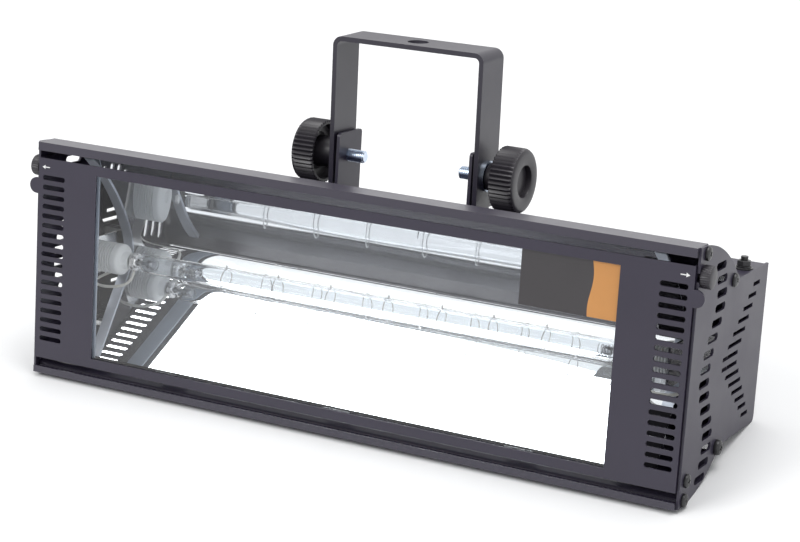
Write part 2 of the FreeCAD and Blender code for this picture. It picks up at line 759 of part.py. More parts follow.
def lamp_bracket(sign):
    """A folded strip that carries an insulator from the partition."""
    bracket = body()
    stem, thick = d.insulator_outer_end, d.bracket_sheet
    foot, back = stem + d.bracket_foot, d.partition_back
    bend = [(stem, d.bracket_front), (stem + thick, d.bracket_front),
            (stem + thick, back - thick), (foot, back - thick), (foot, back), (stem, back)]
    if sign < 0:
        bend = [(-corner[0], corner[1]) for corner in reversed(bend)]
    pad(bracket, "XY_Plane", [bend], d.lamp_up - d.bracket_height / 2, d.bracket_height)
    return bracket


def lead(sign):
    """The wire from an insulator down, outward and back through the partition."""
    half, top = d.lead_width / 2, d.lamp_up - d.insulator_radius
    inside = sign * (d.insulator_inner_end + d.lead_inset)
    outside = sign * d.lead_place
    low, high = (inside, outside) if sign > 0 else (outside, inside)
    return fuse(
        box((inside - half, d.lamp_back - half, lead_level - half),
            (inside + half, d.lamp_back + half, top)),
        box((low - half, d.lamp_back - half, lead_level - half),
            (high + half, d.lamp_back + half, lead_level + half)),
        box((outside - half, d.lamp_back - half, lead_level - half),
            (outside + half, d.board_back, lead_level + half)))


node("insulators", group(*[insulator(sign) for _, sign in SIDES]))
for side, sign in SIDES:
    node(f"lamp_bracket_{side}", lamp_bracket(sign))
node("lamp_leads", group(*[lead(sign) for _, sign in SIDES]))


# Yoke, its two tabs on the box, and the clamp knobs

HUB_SIDES = 8
RECESS_SIDES = 12
STUD_HEAD_SIDES = 6
pivot = FreeCAD.Vector(0, d.pivot_back.value, d.pivot_up.value)


def yoke():
    out, thick, bend = d.yoke_half, d.yoke_sheet, d.yoke_bend
    rise, drop, inside = d.yoke_rise, d.yoke_drop, d.yoke_bend - d.yoke_sheet
    outline = [
        (-out, -drop), (thick - out, -drop), (thick - out, rise - bend, -inside),
        (bend - out, rise - thick), (out - bend, rise - thick, -inside),
        (out - thick, rise - bend), (out - thick, -drop), (out, -drop),
        (out, rise - bend, bend), (out - bend, rise), (bend - out, rise, bend),
        (-out, rise - bend)]
    strip = body()
    pad(strip, "XZ_Plane", [outline], -(d.yoke_width / 2), d.yoke_width)
    pierce(strip, "XY_Plane", [(0, 0, d.yoke_hole / 2)])
    pierce(strip, "YZ_Plane", [(0, 0, d.stud_radius + d.running_gap)])
    lean_forward = FreeCAD.Rotation(FreeCAD.Vector(1, 0, 0), d.yoke_lean.value)
    node("yoke", strip, FreeCAD.Placement(pivot, lean_forward))


def yoke_tab(side, sign):
    seat = d.box_top - d.cover_inset
    inner, top, corner = d.tab_outer - d.tab_sheet, d.pivot_up + d.tab_top, d.tab_corner
    near, far = d.tab_front, d.tab_front + d.tab_width
    upright = [(near, seat), (far, seat), (far, top - corner), (far - corner, top),
               (near + corner, top), (near, top - corner)]
    tab = body()
    start = inner if sign > 0 else -d.tab_outer
    hole = (d.pivot_back, d.pivot_up, d.stud_radius + d.running_gap)
    pad(tab, "YZ_Plane", [upright, hole], start, d.tab_sheet)
    ends = (inner - d.tab_foot, inner) if sign > 0 else (-inner, d.tab_foot - inner)
    pad(tab, "XY_Plane", [rectangle(ends[0], near, ends[1], far)], seat, d.tab_sheet)
    node(f"yoke_tab_{side}", tab)


def clamp_knob(side, sign):
    """A ribbed rim with a bevelled face, hollow towards the yoke round its hub."""
    knob = body()
    rim, ribs = d.knob_radius, count("knob_ribs")
    valley = rim - d.knob_rib
    pad(knob, "YZ_Plane", [star(ribs, rim, valley)], d.knob_rim_start,
        d.knob_rim_end - d.knob_rim_start)
    crown = d.knob_face - d.knob_rim_end
    pad(knob, "YZ_Plane", [polygon(ribs, rim)], d.knob_rim_end, crown,
        narrowing(d.knob_chamfer, crown))
    hollow, web = rim - d.knob_wall, d.knob_face - d.knob_web
    pierce(knob, "YZ_Plane", [polygon(ribs, hollow)], web, web - d.knob_rim_start)
    pad(knob, "YZ_Plane", [polygon(HUB_SIDES, d.knob_hub)], d.knob_start,
        web - d.knob_start)
    pierce(knob, "YZ_Plane", [polygon(STUD_HEAD_SIDES, d.stud_head)],
           d.knob_start + d.stud_head_length, d.stud_head_length)
    pierce(knob, "YZ_Plane", [polygon(RECESS_SIDES, d.knob_recess)], d.knob_face,
           d.knob_recess_depth)
    node(f"clamp_knob_{side}", knob, FreeCAD.Placement(pivot, FACING[sign]))


def clamp_stud(side, sign):
    """A screw whose six-sided head is moulded into the knob's hub."""
    screw = body()
    pad(screw, "YZ_Plane", [(0, 0, d.stud_radius)], d.stud_end, d.knob_start - d.stud_end)
    pad(screw, "YZ_Plane", [polygon(STUD_HEAD_SIDES, d.stud_head)], d.knob_start,
        d.stud_head_length)
    node(f"clamp_stud_{side}", screw, FreeCAD.Placement(pivot, FACING[sign]))


yoke()
for side, sign in SIDES:
    yoke_tab(side, sign)
    clamp_knob(side, sign)
    clamp_stud(side, sign)


# Thumbscrews that hold the door shut, and the screws that it turns on

def thumbscrew(side, sign):
    start, tip = d.width / 2 + d.thumb_gap, d.door_half - d.door_sheet
    screw = body()
    grip = star(count("thumb_ribs"), d.thumb_radius, d.thumb_radius - d.thumb_rib)
    pad(screw, "YZ_Plane", [grip], start, d.thumb_length)
    pad(screw, "YZ_Plane", [(0, 0, d.thumb_shank)], tip, start - tip)
    place = FreeCAD.Vector(0, d.latch_back.value, d.latch_up.value)
    node(f"thumbscrew_{side}", screw, FreeCAD.Placement(place, FACING[sign]))


HINGE_HEAD_SIDES = 8


def hinge_screw(sign):
    tip, face, head = d.door_half - d.door_sheet, d.width / 2, d.hinge_head_height
    shank, start = (tip, face) if sign > 0 else (-face, -face - head)
    return fuse(
        rod("X", (shank, d.hinge_back, d.hinge_up), d.hinge_shank, face - tip),
        prism("X", (start, d.hinge_back, d.hinge_up), d.hinge_head, head,
              HINGE_HEAD_SIDES))


for side, sign in SIDES:
    thumbscrew(side, sign)
node("hinge_screws", group(*[hinge_screw(sign) for _, sign in SIDES]))


# Electronics

# Place along X, height, width, own height and depth of the board's blocks
BOARD_PARTS = ((-30.0, 84.0, 24.0, 16.0, 14.0), (6.0, 86.0, 18.0, 12.0, 16.0),
               (40.0, 88.0, 40.0, 10.0, 12.0), (96.0, 84.0, 30.0, 18.0, 10.0))


def control_board():
    near, far = d.board_back, d.board_back + d.board_sheet
    left, right, low, high = d.board_left, d.board_right, d.board_low, d.board_high
    pieces = [box((left, near, low), (right, far, high))]
    post, margin = d.standoff, d.standoff_margin
    for place in (left + margin, right - margin - post):
        for up in (low + margin, high - margin - post):
            pieces.append(box((place, partition_rear, up), (place + post, near, up + post)))
    for place, up, wide, tall, deep in BOARD_PARTS:
        pieces.append(box((size(place), far, size(up)),
                          (size(place + wide), far + deep, size(up + tall))))
    node("control_board", fuse(*pieces))


control_board()

cans = [d.capacitor_first + number * d.capacitor_pitch
        for number in range(count("capacitors"))]
node("capacitors", group(*[
    rod("Z", (place, d.capacitor_back, floor), d.capacitor_radius, d.capacitor_length)
    for place in cans]))


def capacitor_strap():
    """A strip behind the capacitors, its two ends folded back to the cover."""
    front, thick = d.capacitor_back + d.capacitor_radius, d.strap_sheet
    low, high = floor + d.strap_up, floor + d.strap_up + d.strap_height
    left, right = cans[0] - d.capacitor_radius, cans[-1] + d.capacitor_radius
    return fuse(box((left, front, low), (right, front + thick, high)),
                box((left - thick, front, low), (left, cover_inside, high)),
                box((right, front, low), (right + thick, cover_inside, high)))


def choke():
    left, right = d.choke_place, d.choke_place + d.choke_length
    front, back = d.choke_front, d.choke_front + d.choke_depth
    margin, proud, inset = d.winding_margin, d.winding_proud, d.winding_proud
    return fuse(box((left, front, floor), (right, back, floor + d.choke_height)),
                box((left + margin, front - proud, floor + inset),
                    (right - margin, back + proud, floor + d.choke_height - inset)))


def trigger_coil():
    left, front = d.coil_place, d.coil_front
    back, top = front + d.coil_depth, floor + d.coil_height
    middle = left + d.coil_length / 2
    return fuse(box((left, front, floor), (left + d.coil_length, back, top)),
                prism("Z", (middle, front + d.coil_depth / 2, top), d.coil_depth / 2,
                      d.coil_tower))


node("capacitor_strap", capacitor_strap())
node("choke", choke())
node("trigger_coil", trigger_coil())


# Rear controls and sockets, each with a flange or nut outside the cover and a body inside

FUSE_CAP_SIDES = 12
up = d.control_up


def panel_part(place, body_width, body_depth, neck, nut, nut_sheet):
    """A square body behind the cover, a neck through its hole and a six-sided nut."""
    half = body_width / 2
    return fuse(
        box((place - half, cover_inside - body_depth, up - half),
            (place + half, cover_inside, up + half)),
        prism("Y", (place, cover_inside, up), neck, d.cover_sheet),
        prism("Y", (place, cover_back, up), nut, nut_sheet))


def mains_inlet():
    place, half, high = d.inlet_place, d.inlet_half, d.inlet_height
    wing, rim, wall = d.inlet_flange_half, d.inlet_flange_height, d.inlet_wall
    face = cover_back + d.inlet_flange_sheet
    back = face - d.inlet_well - d.inlet_flange_sheet
    shell = fuse(
        box((place - half, cover_back - d.inlet_depth, up - high),
            (place + half, cover_back, up + high)),
        box((place - wing, cover_back, up - rim), (place + wing, face, up + rim)))
    well = box((place - half + wall, back, up - high + wall),
               (place + half - wall, face, up + high - wall))
    pins = [box((place + x - d.pin_half, back, up + z - d.pin_height),
                (place + x + d.pin_half, back + d.pin_length, up + z + d.pin_height))
            for x, z in ((-d.pin_spacing, -d.pin_offset), (size(0), d.pin_offset),
                         (d.pin_spacing, -d.pin_offset))]
    node("mains_inlet", fuse(cut(shell, well), *pins))


def fuse_holder():
    holder = panel_part(d.fuse_place, d.fuse_body, d.fuse_depth, d.fuse_neck,
                        d.fuse_flange, d.fuse_flange_sheet)
    face = cover_back + d.fuse_flange_sheet
    depth = d.fuse_plug + d.fuse_flange_sheet
    node("fuse_holder", cut(holder, rod("Y", (d.fuse_place, face - depth, up), d.fuse_bore,
                                        depth)))
    plug = d.fuse_plug + d.fuse_cap_gap
    start = face + d.fuse_cap_gap
    middle = start + d.fuse_cap_length - d.coin_slot_depth
    wide, half = d.fuse_cap_radius, d.coin_slot / 2
    node("fuse_cap", cut(
        fuse(rod("Y", (d.fuse_place, start - plug, up), d.fuse_bore - d.running_gap, plug),
             prism("Y", (d.fuse_place, start, up), wide, d.fuse_cap_length, FUSE_CAP_SIDES)),
        box((d.fuse_place - wide, middle, up - half),
            (d.fuse_place + wide, middle + d.coin_slot_depth, up + half))))


def remote_jack():
    jack = panel_part(d.jack_place, d.jack_body, d.jack_depth, d.jack_neck, d.jack_nut,
                      d.jack_nut_sheet)
    face = cover_back + d.jack_nut_sheet
    depth = d.jack_bore_depth + d.jack_nut_sheet
    node("remote_jack", cut(jack, rod("Y", (d.jack_place, face - depth, up), d.jack_bore,
                                      depth)))


def potentiometer(place):
    pot = panel_part(place, d.pot_body, d.pot_depth, d.pot_neck, d.pot_nut, d.pot_nut_sheet)
    face, hole = cover_back + d.pot_nut_sheet, d.shaft_radius + d.running_gap
    depth = d.shaft_depth + d.pot_nut_sheet
    return cut(pot, rod("Y", (place, face - depth, up), hole, depth))


def dial_knob(label, place):
    """A ribbed knob with a pointer line, on its shaft."""
    knob = body()
    start = cover_back + d.dial_start
    face = start + d.dial_length
    grip = star(count("dial_ribs"), d.dial_radius, d.dial_radius - d.dial_rib, place, up)
    pad(knob, "XZ_Plane", [grip], -face, d.dial_length)
    tip = cover_back - d.shaft_depth + d.running_gap
    pad(knob, "XZ_Plane", [(place, up, d.shaft_radius)], -start, start - tip)
    pointer = rectangle(place - d.pointer_width / 2, up, place + d.pointer_width / 2,
                        up + d.dial_radius + d.dial_rib)
    pierce(knob, "XZ_Plane", [pointer], d.pointer_depth - face, d.dial_rib)
    node(label, knob)


mains_inlet()
fuse_holder()
remote_jack()
node("potentiometers", group(potentiometer(d.rate_place), potentiometer(d.level_place)))
dial_knob("rate_knob", d.rate_place)
dial_knob("level_knob", d.level_place)


# The lamp leans back on the common tangent of its lower curve and its lower rear corner

across = d.box_depth.value - d.box_corner.value - d.arc_start.value
fall = d.arc_radius.value - d.box_bottom.value - d.box_corner.value
drop = d.arc_radius.value - d.box_corner.value
lean = math.degrees(math.asin(drop / math.hypot(across, fall)) - math.atan2(fall, across))
leaning = FreeCAD.Placement(FreeCAD.Vector(),
                            FreeCAD.Rotation(FreeCAD.Vector(1, 0, 0), -lean))


def own_place(place):
    return place if isinstance(place, FreeCAD.Placement) else FreeCAD.Placement()


doc.recompute()
extent = FreeCAD.BoundBox()
for label, thing, place in nodes:
    thing.Placement = leaning.multiply(own_place(place))
    extent.add(thing.Shape.optimalBoundingBox(False, False))
STAND = FreeCAD.Placement(
    FreeCAD.Vector(-extent.Center.x, -extent.Center.y, -extent.ZMin), leaning.Rotation)
for label, thing, place in nodes:
    thing.Placement = STAND.multiply(own_place(place))
doc.recompute()

for thing in doc.Objects:
    if {"Invalid", "Error"} & set(thing.State):
        raise RuntimeError(f"{thing.Label} did not build: {thing.State}")
os.makedirs("parts", exist_ok=True)
for label, thing, _ in nodes:
    shape = thing.Shape
    if shape.isNull() or not shape.isValid() or not shape.Solids:
        raise RuntimeError(f"{label} is not a sound solid")
    shape.exportStep(f"parts/{label}.step")
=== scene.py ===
import math

import bpy
from mathutils import Matrix, Vector


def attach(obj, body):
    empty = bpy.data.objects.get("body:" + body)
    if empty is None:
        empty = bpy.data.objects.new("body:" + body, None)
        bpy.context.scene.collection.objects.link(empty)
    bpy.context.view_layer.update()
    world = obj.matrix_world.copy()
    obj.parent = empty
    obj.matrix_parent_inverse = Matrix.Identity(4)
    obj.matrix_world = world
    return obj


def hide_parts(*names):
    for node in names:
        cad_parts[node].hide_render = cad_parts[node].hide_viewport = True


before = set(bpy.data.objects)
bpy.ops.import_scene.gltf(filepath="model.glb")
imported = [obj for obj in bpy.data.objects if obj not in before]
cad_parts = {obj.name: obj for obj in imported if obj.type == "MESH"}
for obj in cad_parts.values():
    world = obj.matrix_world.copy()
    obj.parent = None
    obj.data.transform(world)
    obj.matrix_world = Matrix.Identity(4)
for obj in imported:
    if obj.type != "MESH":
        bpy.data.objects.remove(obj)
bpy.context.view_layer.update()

# The lamp head's own axes: X along the window, Y to the back, Z up the window, with the origin
# in the middle of the lower front edge. STAND is how the head leans on the table.
LEAN = math.radians(12.143604578946318)
STAND = Matrix.Translation((0, -0.0749374, 0.00302095)) @ Matrix.Rotation(-LEAN, 4, "X")


def deselect_all():
    bpy.ops.object.select_all(action="DESELECT")


# Shader groups that several finishes share

def new_node(nodes, kind, operation=None, **values):
    """A shader node with its operation and the values of its named inputs."""
    node = nodes.new(f"ShaderNode{kind}")
    if operation:
        node.operation = operation
    for label, value in values.items():
        node.inputs[label.replace("_", " ")].default_value = value
    return node


def new_group(name, inputs, outputs):
    group = bpy.data.node_groups.new(name, "ShaderNodeTree")
    for label, kind, value in inputs:
        socket = group.interface.new_socket(label, in_out="INPUT", socket_type=kind)
        socket.default_value = value
    for label, kind in outputs:
        group.interface.new_socket(label, in_out="OUTPUT", socket_type=kind)
    return group, group.nodes.new("NodeGroupInput"), group.nodes.new("NodeGroupOutput")


def fine_grain_group():
    """Height of a fine grain and a slow drift of tone, both on Object coordinates."""
    group, given, out = new_group(
        "Fine grain",
        [("Grain scale", "NodeSocketFloat", 900.0), ("Drift scale", "NodeSocketFloat", 25.0)],
        [("Height", "NodeSocketFloat"), ("Drift", "NodeSocketFloat")])
    place = new_node(group.nodes, "TexCoord")
    grain = new_node(group.nodes, "TexNoise", Detail=3.0, Roughness=0.6)
    drift = new_node(group.nodes, "TexNoise", Detail=4.0)
    link = group.links.new
    link(place.outputs["Object"], grain.inputs["Vector"])
    link(place.outputs["Object"], drift.inputs["Vector"])
    link(given.outputs["Grain scale"], grain.inputs["Scale"])
    link(given.outputs["Drift scale"], drift.inputs["Scale"])
    link(grain.outputs["Fac"], out.inputs["Height"])
    link(drift.outputs["Fac"], out.inputs["Drift"])
    return group


def edge_rub_group():
    """A mask of the rubbed sharp edges, broken up by noise."""
    group, given, out = new_group(
        "Edge rub",
        [("Width", "NodeSocketFloat", 0.0008), ("Amount", "NodeSocketFloat", 0.5)],
        [("Mask", "NodeSocketFloat")])
    bevel = new_node(group.nodes, "Bevel")
    bevel.samples = 4
    facing = new_node(group.nodes, "NewGeometry")
    agree = new_node(group.nodes, "VectorMath", "DOT_PRODUCT")
    ramp = new_node(group.nodes, "MapRange", From_Min=0.995, From_Max=0.8)
    place = new_node(group.nodes, "TexCoord")
    chips = new_node(group.nodes, "TexNoise", Scale=160.0, Detail=5.0)
    broken = new_node(group.nodes, "MapRange", From_Min=0.35, From_Max=0.65)
    both = new_node(group.nodes, "Math", "MULTIPLY")
    scaled = new_node(group.nodes, "Math", "MULTIPLY")
    link = group.links.new
    link(given.outputs["Width"], bevel.inputs["Radius"])
    link(bevel.outputs["Normal"], agree.inputs[0])
    link(facing.outputs["Normal"], agree.inputs[1])
    link(agree.outputs["Value"], ramp.inputs["Value"])
    link(place.outputs["Object"], chips.inputs["Vector"])
    link(chips.outputs["Fac"], broken.inputs["Value"])
    link(ramp.outputs["Result"], both.inputs[0])
    link(broken.outputs["Result"], both.inputs[1])
    link(both.outputs["Value"], scaled.inputs[0])
    link(given.outputs["Amount"], scaled.inputs[1])
    link(scaled.outputs["Value"], out.inputs["Mask"])
    return group


FINE_GRAIN = fine_grain_group()
EDGE_RUB = edge_rub_group()


# Finishes

def new_finish(name):
    finish = bpy.data.materials.new(name)
    finish.use_nodes = True
    nodes = finish.node_tree.nodes
    return finish, nodes, finish.node_tree.links.new, nodes["Principled BSDF"]


def place_group(nodes, group, **values):
    node = nodes.new("ShaderNodeGroup")
    node.node_tree = group
    for label, value in values.items():
        node.inputs[label.replace("_", " ")].default_value = value
    return node


def shade(colour, share=1.0):
    """A colour and its opacity for a socket, made lighter or darker by share."""
    return (*[min(1.0, part * share) for part in colour], 1)


def colour_mix(nodes, **colours):
    """A Mix node between colours, given as A and B."""
    mix = nodes.new("ShaderNodeMix")
    mix.data_type = "RGBA"
    for label, colour in colours.items():
        mix.inputs[label].default_value = colour
    return mix


def grained(name, colour, worn, roughness, spread, grain=900.0, depth=0.00002, rub=0.5,
            rub_width=0.0006, metallic=0.0, coat=0.0, glint=0.5):
    """A solid finish whose tone and roughness drift, with a fine grain and rubbed edges."""
    finish, nodes, link, shader = new_finish(name)
    shader.inputs["Metallic"].default_value = metallic
    shader.inputs["Coat Weight"].default_value = coat
    shader.inputs["Coat Roughness"].default_value = roughness * 0.6
    shader.inputs["Specular IOR Level"].default_value = glint
    texture = place_group(nodes, FINE_GRAIN, Grain_scale=grain)
    rubbed = place_group(nodes, EDGE_RUB, Width=rub_width, Amount=rub)
    tone = colour_mix(nodes, A=shade(colour, 0.9), B=shade(colour, 1.1))
    edge = colour_mix(nodes, B=shade(worn))
    rough = new_node(nodes, "MapRange", From_Min=0.3, From_Max=0.7,
                     To_Min=roughness - spread, To_Max=roughness + spread)
    bump = new_node(nodes, "Bump", Distance=depth)
    link(texture.outputs["Drift"], tone.inputs["Factor"])
    link(tone.outputs["Result"], edge.inputs["A"])
    link(rubbed.outputs["Mask"], edge.inputs["Factor"])
    link(edge.outputs["Result"], shader.inputs["Base Color"])
    link(texture.outputs["Drift"], rough.inputs["Value"])
    link(rough.outputs["Result"], shader.inputs["Roughness"])
    link(texture.outputs["Height"], bump.inputs["Height"])
    link(bump.outputs["Normal"], shader.inputs["Normal"])
    return finish


def rolled_sheet(name, colour, roughness, spread, depth):
    """Bright metal with a faint rolling direction along X and slow waves in the sheet."""
    finish, nodes, link, shader = new_finish(name)
    shader.inputs["Metallic"].default_value = 0.9
    place = new_node(nodes, "TexCoord")
    stretch = new_node(nodes, "Mapping", Scale=(4.0, 400.0, 400.0))
    streaks = new_node(nodes, "TexNoise", Scale=1.0, Detail=3.0)
    tone = colour_mix(nodes, A=shade(colour, 0.96), B=shade(colour))
    rough = new_node(nodes, "MapRange", To_Min=roughness - spread, To_Max=roughness + spread)
    waves = new_node(nodes, "TexNoise", Scale=9.0, Detail=0.0)
    bump = new_node(nodes, "Bump", Distance=depth)
    link(place.outputs["Object"], waves.inputs["Vector"])
    link(place.outputs["Object"], stretch.inputs["Vector"])
    link(stretch.outputs["Vector"], streaks.inputs["Vector"])
    link(streaks.outputs["Fac"], tone.inputs["Factor"])
    link(tone.outputs["Result"], shader.inputs["Base Color"])
    link(streaks.outputs["Fac"], rough.inputs["Value"])
    link(rough.outputs["Result"], shader.inputs["Roughness"])
    link(waves.outputs["Fac"], bump.inputs["Height"])
    link(bump.outputs["Normal"], shader.inputs["Normal"])
    return finish


def clear_sheet(name, tint, gloss):
    """Flat glass: it passes light straight through and mirrors a little of the room."""
    finish, nodes, link, shader = new_finish(name)
    nodes.remove(shader)
    passing = new_node(nodes, "BsdfTransparent", Color=shade(tint))
    mirror = new_node(nodes, "BsdfGlossy", Roughness=gloss)
    fresnel = new_node(nodes, "Fresnel", IOR=1.75)
    facing = new_node(nodes, "NewGeometry")
    entering = new_node(nodes, "Math", "SUBTRACT")
    entering.inputs[0].default_value = 1.0
    outer_only = new_node(nodes, "Math", "MULTIPLY")
    mix = new_node(nodes, "MixShader")
    link(facing.outputs["Backfacing"], entering.inputs[1])
    link(fresnel.outputs["Fac"], outer_only.inputs[0])
    link(entering.outputs["Value"], outer_only.inputs[1])
    link(outer_only.outputs["Value"], mix.inputs["Fac"])
    link(passing.outputs["BSDF"], mix.inputs[1])
    link(mirror.outputs["BSDF"], mix.inputs[2])
    link(mix.outputs["Shader"], nodes["Material Output"].inputs["Surface"])
    return finish


def drawn_quartz(name):
    """Clear tube glass; lamps shine through it unbent."""
    finish, nodes, link, shader = new_finish(name)
    shader.inputs["Base Color"].default_value = (0.98, 0.99, 1.0, 1)
    shader.inputs["Transmission Weight"].default_value = 1.0
    shader.inputs["IOR"].default_value = 1.2
    shader.inputs["Roughness"].default_value = 0.0
    path = new_node(nodes, "LightPath")
    passing = new_node(nodes, "BsdfTransparent")
    mix = new_node(nodes, "MixShader")
    link(path.outputs["Is Shadow Ray"], mix.inputs["Fac"])
    link(shader.outputs["BSDF"], mix.inputs[1])
    link(passing.outputs["BSDF"], mix.inputs[2])
    link(mix.outputs["Shader"], nodes["Material Output"].inputs["Surface"])
    return finish


# The decal's wavy edge: its place along X, its swing, and its turns in radians a metre
EDGE_PLACE, EDGE_SWING, EDGE_TURNS = 0.1578, 0.0013, 165.0


def decal_film(name, dark, warm):
    """A printed film, dark with a warm right end behind a wavy edge."""
    finish, nodes, link, shader = new_finish(name)
    shader.inputs["Roughness"].default_value = 0.3
    place = new_node(nodes, "TexCoord")
    parts = new_node(nodes, "SeparateXYZ")
    rise = new_node(nodes, "Math", "MULTIPLY")
    rise.inputs[1].default_value = EDGE_TURNS
    wave = new_node(nodes, "Math", "SINE")
    edge = new_node(nodes, "Math", "MULTIPLY_ADD")
    edge.inputs[1].default_value = EDGE_SWING
    edge.inputs[2].default_value = EDGE_PLACE
    beyond = new_node(nodes, "Math", "GREATER_THAN")
    texture = place_group(nodes, FINE_GRAIN, Grain_scale=1500.0, Drift_scale=60.0)
    worn = new_node(nodes, "MapRange", To_Min=0.92, To_Max=1.08)
    tone = colour_mix(nodes, A=shade(dark), B=shade(warm))
    drifted = new_node(nodes, "VectorMath", "SCALE")
    bump = new_node(nodes, "Bump", Distance=0.000004)
    link(place.outputs["Object"], parts.inputs["Vector"])
    link(parts.outputs["Z"], rise.inputs[0])
    link(rise.outputs["Value"], wave.inputs[0])
    link(wave.outputs["Value"], edge.inputs[0])
    link(parts.outputs["X"], beyond.inputs[0])
    link(edge.outputs["Value"], beyond.inputs[1])
    link(beyond.outputs["Value"], tone.inputs["Factor"])
    link(texture.outputs["Drift"], worn.inputs["Value"])
    link(tone.outputs["Result"], drifted.inputs["Vector"])
    link(worn.outputs["Result"], drifted.inputs["Scale"])
    link(drifted.outputs["Vector"], shader.inputs["Base Color"])
    link(texture.outputs["Height"], bump.inputs["Height"])
    link(bump.outputs["Normal"], shader.inputs["Normal"])
    return finish


BLACK = (0.025, 0.0205, 0.0385)
finishes = {
    "housing_coat": grained("Satin powder coat, housing", BLACK, (0.09, 0.09, 0.095), 0.40,
                            0.04, grain=1400, depth=0.000012),
    "rail_coat": grained("Satin powder coat, rails", BLACK, (0.09, 0.09, 0.095), 0.36,
                         0.04, grain=1400, depth=0.00001, coat=0.5),
    "door_coat": grained("Satin powder coat, door", BLACK, (0.10, 0.10, 0.105), 0.36, 0.03,
                         grain=1400, depth=0.000008, rub_width=0.0005, coat=0.1),
    "yoke_coat": grained("Satin powder coat, yoke", (0.0175, 0.0145, 0.0275),
                         (0.12, 0.12, 0.125), 0.42, 0.04, grain=1300, depth=0.000016,
                         coat=0.25),
    # Painted shade: a near-black finish with little glint, for the strips that darken the
    # right end of the reflector
    "painted_shade_black": grained("Matt black painted shade", (0.006, 0.005, 0.008), (0.02, 0.02, 0.022),
                           0.7, 0.05, grain=1800, depth=0.00001, glint=0.12),
    "moulded_knob": grained("Moulded black plastic", (0.024, 0.021, 0.027),
                            (0.06, 0.06, 0.062), 0.38, 0.05, grain=1800, depth=0.00001),
    "socket_plastic": grained("Socket plastic", (0.022, 0.022, 0.023), (0.05, 0.05, 0.05),
                              0.38, 0.04, grain=2000, depth=0.000006),
    "black_oxide": grained("Black oxide steel", (0.035, 0.035, 0.037), (0.3, 0.3, 0.3),
                           0.34, 0.05, grain=2500, depth=0.000006, rub_width=0.0003,
                           metallic=0.5),
    "zinc_plate": grained("Zinc plate", (0.60, 0.68, 0.80), (0.80, 0.86, 0.92), 0.22, 0.05,
                          grain=1500, depth=0.000006, rub_width=0.0003, metallic=1.0),
    "clear_seal": grained("Clear silicone seal", (0.36, 0.41, 0.50), (0.5, 0.54, 0.6), 0.3,
                          0.05, grain=900, depth=0.000006, rub=0.2),
    "bright_steel": grained("Bright steel", (0.62, 0.62, 0.63), (0.8, 0.8, 0.8), 0.26, 0.07,
                            grain=1200, depth=0.000006, rub_width=0.0003, metallic=1.0),
    "white_ceramic": grained("White steatite", (0.88, 0.89, 0.90), (0.92, 0.93, 0.94), 0.36,
                             0.06, grain=1600, depth=0.000012, rub=0.3),
    "silicone_sleeve": grained("Silicone sleeve", (0.74, 0.73, 0.69), (0.78, 0.77, 0.74),
                               0.5, 0.05, grain=1400, depth=0.00001, rub=0.2),
    "fibre_washer": grained("Fibre washer", (0.05, 0.045, 0.04), (0.09, 0.08, 0.07), 0.7,
                            0.05, grain=1100, depth=0.00003),
    "board_mask": grained("Solder mask", (0.02, 0.10, 0.04), (0.2, 0.25, 0.15), 0.34, 0.05,
                          grain=900, depth=0.00001),
    "capacitor_sleeve": grained("Shrink sleeve", (0.02, 0.035, 0.09), (0.05, 0.07, 0.14),
                                0.3, 0.04, grain=700, depth=0.00001),
    "core_iron": grained("Varnished laminations", (0.09, 0.07, 0.05), (0.2, 0.18, 0.15),
                         0.45, 0.08, grain=500, depth=0.00003, metallic=0.4),
    "coil_resin": grained("Dipped coil", (0.28, 0.05, 0.02), (0.4, 0.1, 0.05), 0.3, 0.05,
                          grain=400, depth=0.00003),
    "pale_trim": grained("Dull anodised strip", (0.50, 0.53, 0.60), (0.70, 0.73, 0.78),
                         0.34, 0.05, grain=900, depth=0.00001, metallic=0.6),
    "bright_reflector": rolled_sheet("Polished reflector", (0.96, 0.975, 1.0), 0.02, 0.01,
                                     0.0004),
    "tungsten": grained("Wound tungsten", (0.34, 0.35, 0.38), (0.5, 0.5, 0.52), 0.3, 0.06,
                        grain=2500, depth=0.000006, rub=0.2, metallic=0.9),
    "nickel_wire": grained("Nickel wire", (0.55, 0.55, 0.55), (0.7, 0.7, 0.7), 0.25, 0.05,
                           grain=2500, depth=0.000003, rub=0.2, metallic=1.0),
    "white_print": grained("White print", (0.80, 0.80, 0.79), (0.6, 0.6, 0.6), 0.5, 0.04,
                           grain=1800, depth=0.000004, rub=0.2),
    "two_colour_decal": decal_film("Two-colour decal", (0.045, 0.041, 0.044),
                                   (0.56, 0.255, 0.075)),
    "window_glass": clear_sheet("Toughened glass", (0.985, 0.993, 0.995), 0.0),
    "quartz": drawn_quartz("Fused quartz"),
}

WEARS = {
    "housing_coat": ("end_plate_left", "end_plate_right", "top_cover", "bottom_cover",
                     "rear_cover"),
    "rail_coat": ("top_rail", "bottom_rail"),
    "door_coat": ("door_panel",),
    "yoke_coat": ("yoke",),
    "socket_plastic": ("mains_inlet", "fuse_holder", "remote_jack"),
    "bright_steel": ("upper_tie_bar", "lower_tie_bar", "reflector_spacers",
                     "lamp_bracket_left", "lamp_bracket_right", "glass_clips",
                     "capacitor_strap", "potentiometers"),
    "board_mask": ("control_board",),
    "capacitor_sleeve": ("capacitors",),
    "core_iron": ("choke",),
    "coil_resin": ("trigger_coil",),
    "pale_trim": ("reflector_rib_left", "reflector_rib_right"),
    "window_glass": ("window_glass",),
}
for finish, names in WEARS.items():
    for name in names:
        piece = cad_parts[name]
        for slot in piece.material_slots:
            slot.material = finishes[finish]

# Modelling helpers. Lengths are in millimetres along the head's own axes.

MM = 0.001
# Points closer than this become one, in metres
SAME_PLACE, SAME_PLACE_FINE = 0.000005, 0.000002


def pick(piece):
    """Selects one piece alone and makes it the active one."""
    deselect_all()
    piece.select_set(True)
    bpy.context.view_layer.objects.active = piece


